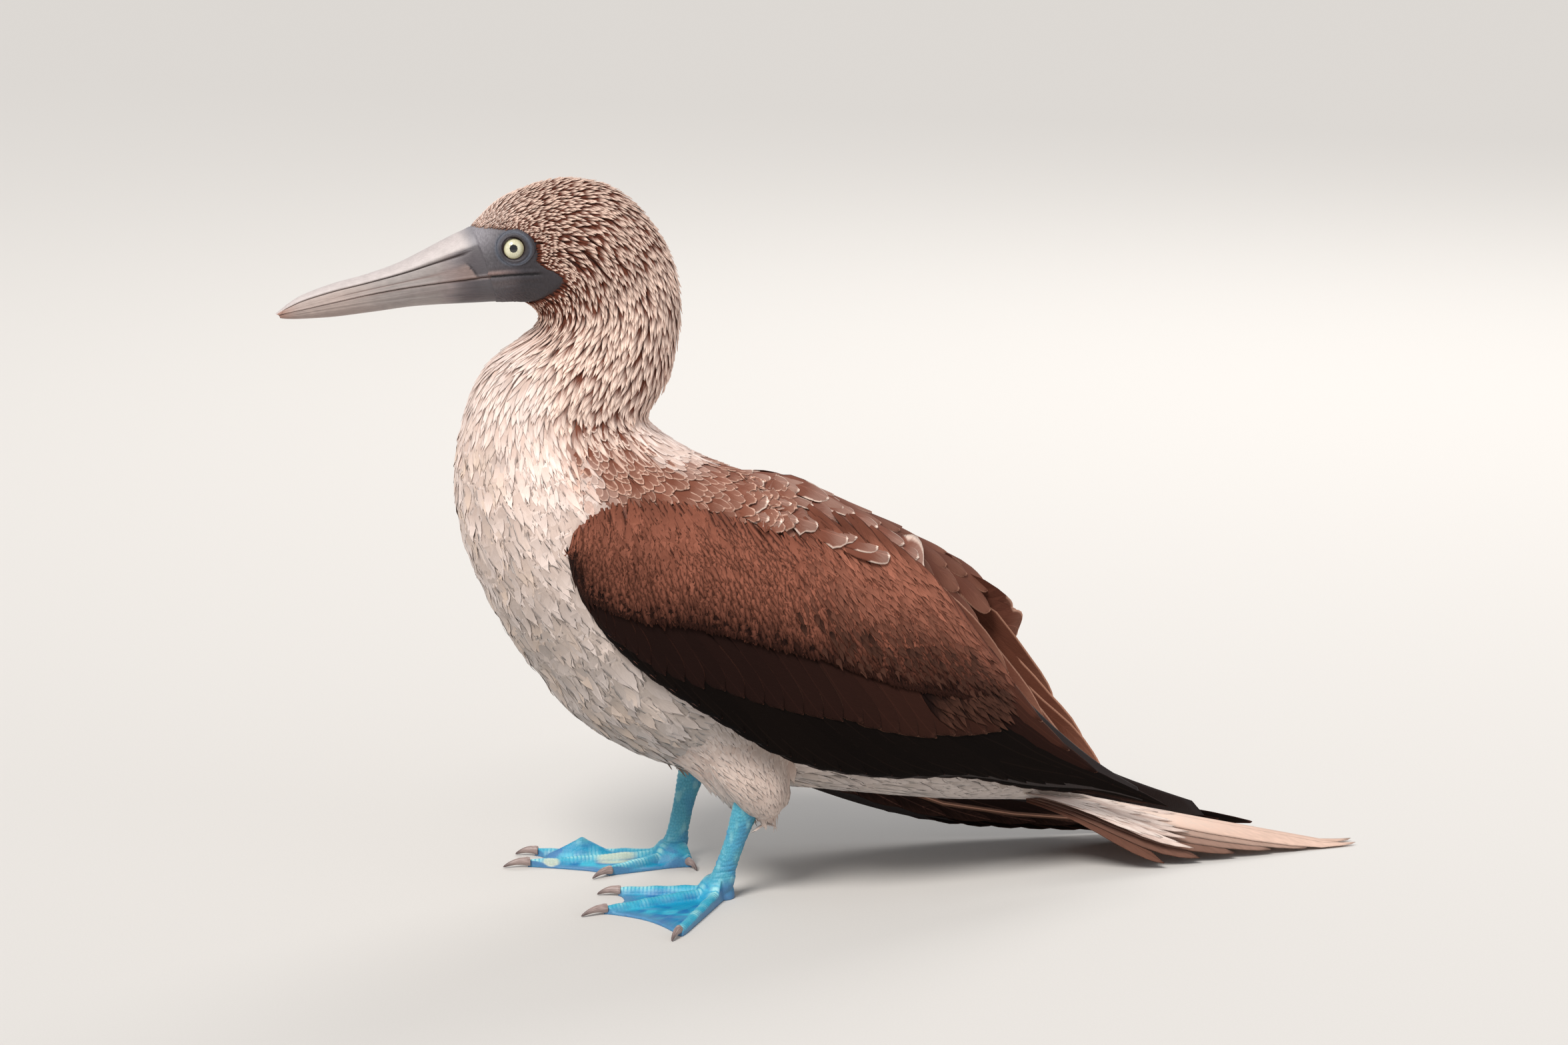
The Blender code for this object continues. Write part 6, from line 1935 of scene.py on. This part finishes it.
def foot_scales(points, toes, x, y, top, side):
    """Relief and colour of a foot: pebbled web with a paler margin, and plates along the toes with a
    painted highlight on their crests.
    """
    colour = mottled(np.tile(WEB, (len(x), 1)), points,
                     ((WEB_LIGHT, 1, 1, 15, 11, -0.2, 1), (WEB_DEEP, 0.75, 0.6, 8, 12, 0, 0.9),
                      (WEB_GREY, 0.6, 0.5, 11, 13, 0.2, 1)))
    reach = np.maximum(web_reach(toes, np.degrees(np.arctan2(y, -x))), 1)
    colour = blend(colour, WEB_MARGIN, 0.8 * ramp(np.hypot(x, y) / reach, 0.80, 0.98))
    rise = 0.10 * cells(points[:, 0] / 0.9 + 200, points[:, 1] / 0.9 + 200, 5)
    for (_, length), along, beside in toe_places(toes, x, y):
        on = bump(beside, 0, 2.7) * ramp(along, 4, 9) * ramp(along, length + 1.5, length - 1)
        scutes = np.abs(np.sin(along * math.pi / 2)) ** 0.45
        rise = rise + 0.24 * on * (scutes - 0.6)
        # Pale cyan on the crests of the toes' plates where they face up, patchy by a smooth wander: a
        # painted highlight.
        glint = ramp(waves(points, 13, 40 + int(length)), -0.4, 0.9)
        shade = blend(TOE, TOE_HIGHLIGHT, (0.1 + 0.8 * glint) * ramp(scutes, 0.4, 1))
        shade = blend(shade, TOE_JOIN, 0.4 * ramp(scutes, 0.5, 0.1))
        colour = blend(colour, shade, np.clip(on * 1.1, 0, 1) * top)
    if side == RIGHT:
        patch = bump((x + 32) / 12, 0, 1) * bump((y + 1) / 4, 0, 1)
        patch = np.maximum(patch, bump((x + 66) / 5, 0, 1) * bump(y / 3, 0, 1))
        colour = blend(colour, WORN_PATCH, 0.8 * ramp(patch, 0.3, 0.7) * top)
    return rise * top, colour


def leg_details(points, normals, side):
    """Scales of shank and foot: height over the skin and colour for every point."""
    (ankle_x, ankle_y), toes = FOOT[side]
    x, y, z = points[:, 0] - ankle_x, points[:, 1] * side - ankle_y, points[:, 2]
    top = ramp(normals[:, 2], 0.15, 0.5)
    shank = ramp(z, 9, 15)
    shank_rise, teal = shank_scales(points, x, y, z)
    foot_rise, blue = foot_scales(points, toes, x, y, top, side)
    colour = blend(blend(blue, teal, ramp(z, 6.5, 13)), SOLE_SHADE, 0.35 * ramp(normals[:, 2], 0, -0.5))
    return shank * shank_rise + (1 - shank) * foot_rise, colour


def leg_material():
    s = Shader("leg_skin", Roughness=0.42, Specular_IOR_Level=0.45, Subsurface_Weight=0.06,
               Subsurface_Scale=0.004)
    place = s.position()
    fine = s.noise(place, 1.3, 5, 0.6)
    grime = s.noise(place, 0.35, 4, 0.7)
    colour = s.lit(s.attribute("skin_colour", "Color"), s.around(fine, 0.5))
    return s.finish(s.mix(s.step(grime, 0.66, 0.78, 0, 0.35), colour, GRIME), fine, 0.2)


def make_leg(prefix, side, material):
    points, normals, quads = fused([foot_body(side), tarsus_body(side)])
    rise, colour = leg_details(points, normals, side)
    points = points + normals * spread(rise)
    points[:, 2] = np.maximum(points[:, 2], 0)
    item = put_mesh("skin_leg_" + prefix, points, [quads], {"skin_colour": opaque(colour)})
    finish_piece(item, material, ("tarsus_" + prefix, "foot_" + prefix))


def claw_material(prefix):
    s = Shader("claw_horn_" + prefix, Roughness=0.38)
    t, a, r = s.parts(s.attribute("horn_place"))
    lines = s.noise(s.vector(s.times(t, 1.5), s.times(a, 3), r), 2, 4)
    colour = s.mix(s.step(lines, 0.3, 0.7), CLAW_DARK, CLAW_PALE)
    return s.finish(s.mix(s.step(t, 0.5, 1), colour, CLAW_END), lines, 0.1)


def make_claws(prefix, side):
    """Curved, ridged claws, one at the end of each toe."""
    material = claw_material(prefix)
    (ankle_x, ankle_y), toes = FOOT[side]
    t, a = all_pairs(np.linspace(0, 1, 40), ring(32))
    radius = 2.3 * (1 - t) ** 0.52 + 0.12 + 0.12 * bump(t, 0.1, 0.05)
    level = 2.55 + 0.75 * np.sin(math.pi * t) - 1.9 * t ** 2
    wide = radius * np.cos(a) * (0.82 + 0.10 * np.sin(a))
    high = radius * (np.sin(a) * np.where(np.sin(a) > 0, 1.08, 0.8) + 0.10 * bump(a, math.pi / 2, 0.3))
    for index, (toe, claw_length) in enumerate(zip(toes, CLAW_LENGTHS)):
        ahead, out = toe_direction(toe)
        reach = toe[1] - 1.8 + (claw_length + 2.1) * t
        x = ankle_x + ahead * reach - out * wide
        y = side * (ankle_y + out * reach + ahead * wide)
        points = np.stack((x, y, np.maximum(level + high, 0.02)), -1)
        place = np.stack((t, np.sin(a), np.full(t.shape, index * 7)), -1)
        name = f"claw_{prefix}_{index + 1}"
        item = put_mesh("horn_" + name, points.reshape(-1, 3), tube_faces(*t.shape),
                        {"horn_place": place.reshape(-1, 3)}, outward=True)
        finish_piece(item, material, (name,))


# ---------------------------------------------------------------- stage

VIEW_AZIMUTH, VIEW_ELEVATION = -11, 12     # degrees; 0 looks along +Y
LENS, SENSOR = 110, 36.0
IMAGE_WIDTH, PIXELS_PER_METRE = 2352, 2940
LOOK_AT = (38.6, 0, 186.5)

# Lights and floor are in metres. The sun's light comes from SUN_FROM, spread over so many degrees.
# Lamps: name, place, target, size, power and colour.
SUN_FROM, SUN_POWER, SUN_SPREAD, SUN_COLOUR = (-0.62, -0.72, 1.15), 2.8, 24, (1, 0.965, 0.92)
LAMPS = (("fill", (1.6, -1.6, 1), (0, 0, 0.15), 1.8, 6, (0.94, 0.97, 1)),
         ("rim", (0.9, 1.6, 1.6), (0, 0, 0.2), 1.2, 16, (1, 0.98, 0.96)))
SKY_COLOUR, SKY_POWER = (0.90, 0.92, 0.95, 1), 0.48
FLOOR_SIZE, FLOOR_DARK, FLOOR_LIGHT = 80, srgb(208, 205, 201), srgb(213, 210, 207)


def place_item(name, data, behind):
    """A new camera or lamp in the scene, with its back turned towards behind."""
    item = bpy.data.objects.new(name, data)
    item.rotation_euler = Vector(behind).to_track_quat("Z", "Y").to_euler()
    bpy.context.scene.collection.objects.link(item)
    return item


def make_camera():
    azimuth, elevation = math.radians(VIEW_AZIMUTH), math.radians(VIEW_ELEVATION)
    back = Vector((math.sin(azimuth) * math.cos(elevation), -math.cos(azimuth) * math.cos(elevation),
                   math.sin(elevation)))
    camera = place_item("camera", bpy.data.cameras.new("camera"), back)
    camera.data.lens = LENS
    camera.data.sensor_width = SENSOR
    camera.data.clip_end = 20
    distance = IMAGE_WIDTH / PIXELS_PER_METRE * LENS / SENSOR
    camera.location = Vector(to_frame(LOOK_AT)) + back * distance
    bpy.context.scene.camera = camera


def make_floor():
    bpy.ops.mesh.primitive_plane_add(size=FLOOR_SIZE, location=(0, 0, 0))
    floor = bpy.context.object
    floor.name = "floor"
    s = Shader("floor", Roughness=0.95, Specular_IOR_Level=0.1)
    grain = s.noise(s.position(), 0.9, 2)
    floor.data.materials.append(s.finish(s.mix(grain, FLOOR_DARK, FLOOR_LIGHT)))


def make_lights():
    sun = place_item("key", bpy.data.lights.new("key", "SUN"), SUN_FROM).data
    sun.energy = SUN_POWER
    sun.angle = math.radians(SUN_SPREAD)
    sun.color = SUN_COLOUR
    for name, place, target, size, power, colour in LAMPS:
        lamp = place_item(name, bpy.data.lights.new(name, "AREA"), Vector(place) - Vector(target))
        lamp.location = place
        lamp.data.shape = "DISK"
        lamp.data.size = size
        lamp.data.energy = power
        lamp.data.color = colour
    world = bpy.data.worlds.new("studio")
    world.use_nodes = True
    background = world.node_tree.nodes["Background"].inputs
    background["Color"].default_value = SKY_COLOUR
    background["Strength"].default_value = SKY_POWER
    bpy.context.scene.world = world
    bpy.context.scene.view_settings.view_transform = "Standard"


# ---------------------------------------------------------------- the whole bird

make_skin()
make_bill()
leg_horn = leg_material()
for prefix, side in SIDES:
    make_eye("eye_" + prefix, side)
    make_leg(prefix, side, leg_horn)
    make_claws(prefix, side)
make_body_coat()
for prefix, side in SIDES:
    make_wing(prefix, side)
    make_underwing(prefix, side)
    make_scapulars(prefix, side)
    make_shoulder(prefix, side)
    make_tertials(prefix, side)
    make_thigh_coat(prefix, side)
make_back()
make_tail()
make_tail_coverts()
make_camera()
make_floor()
make_lights()
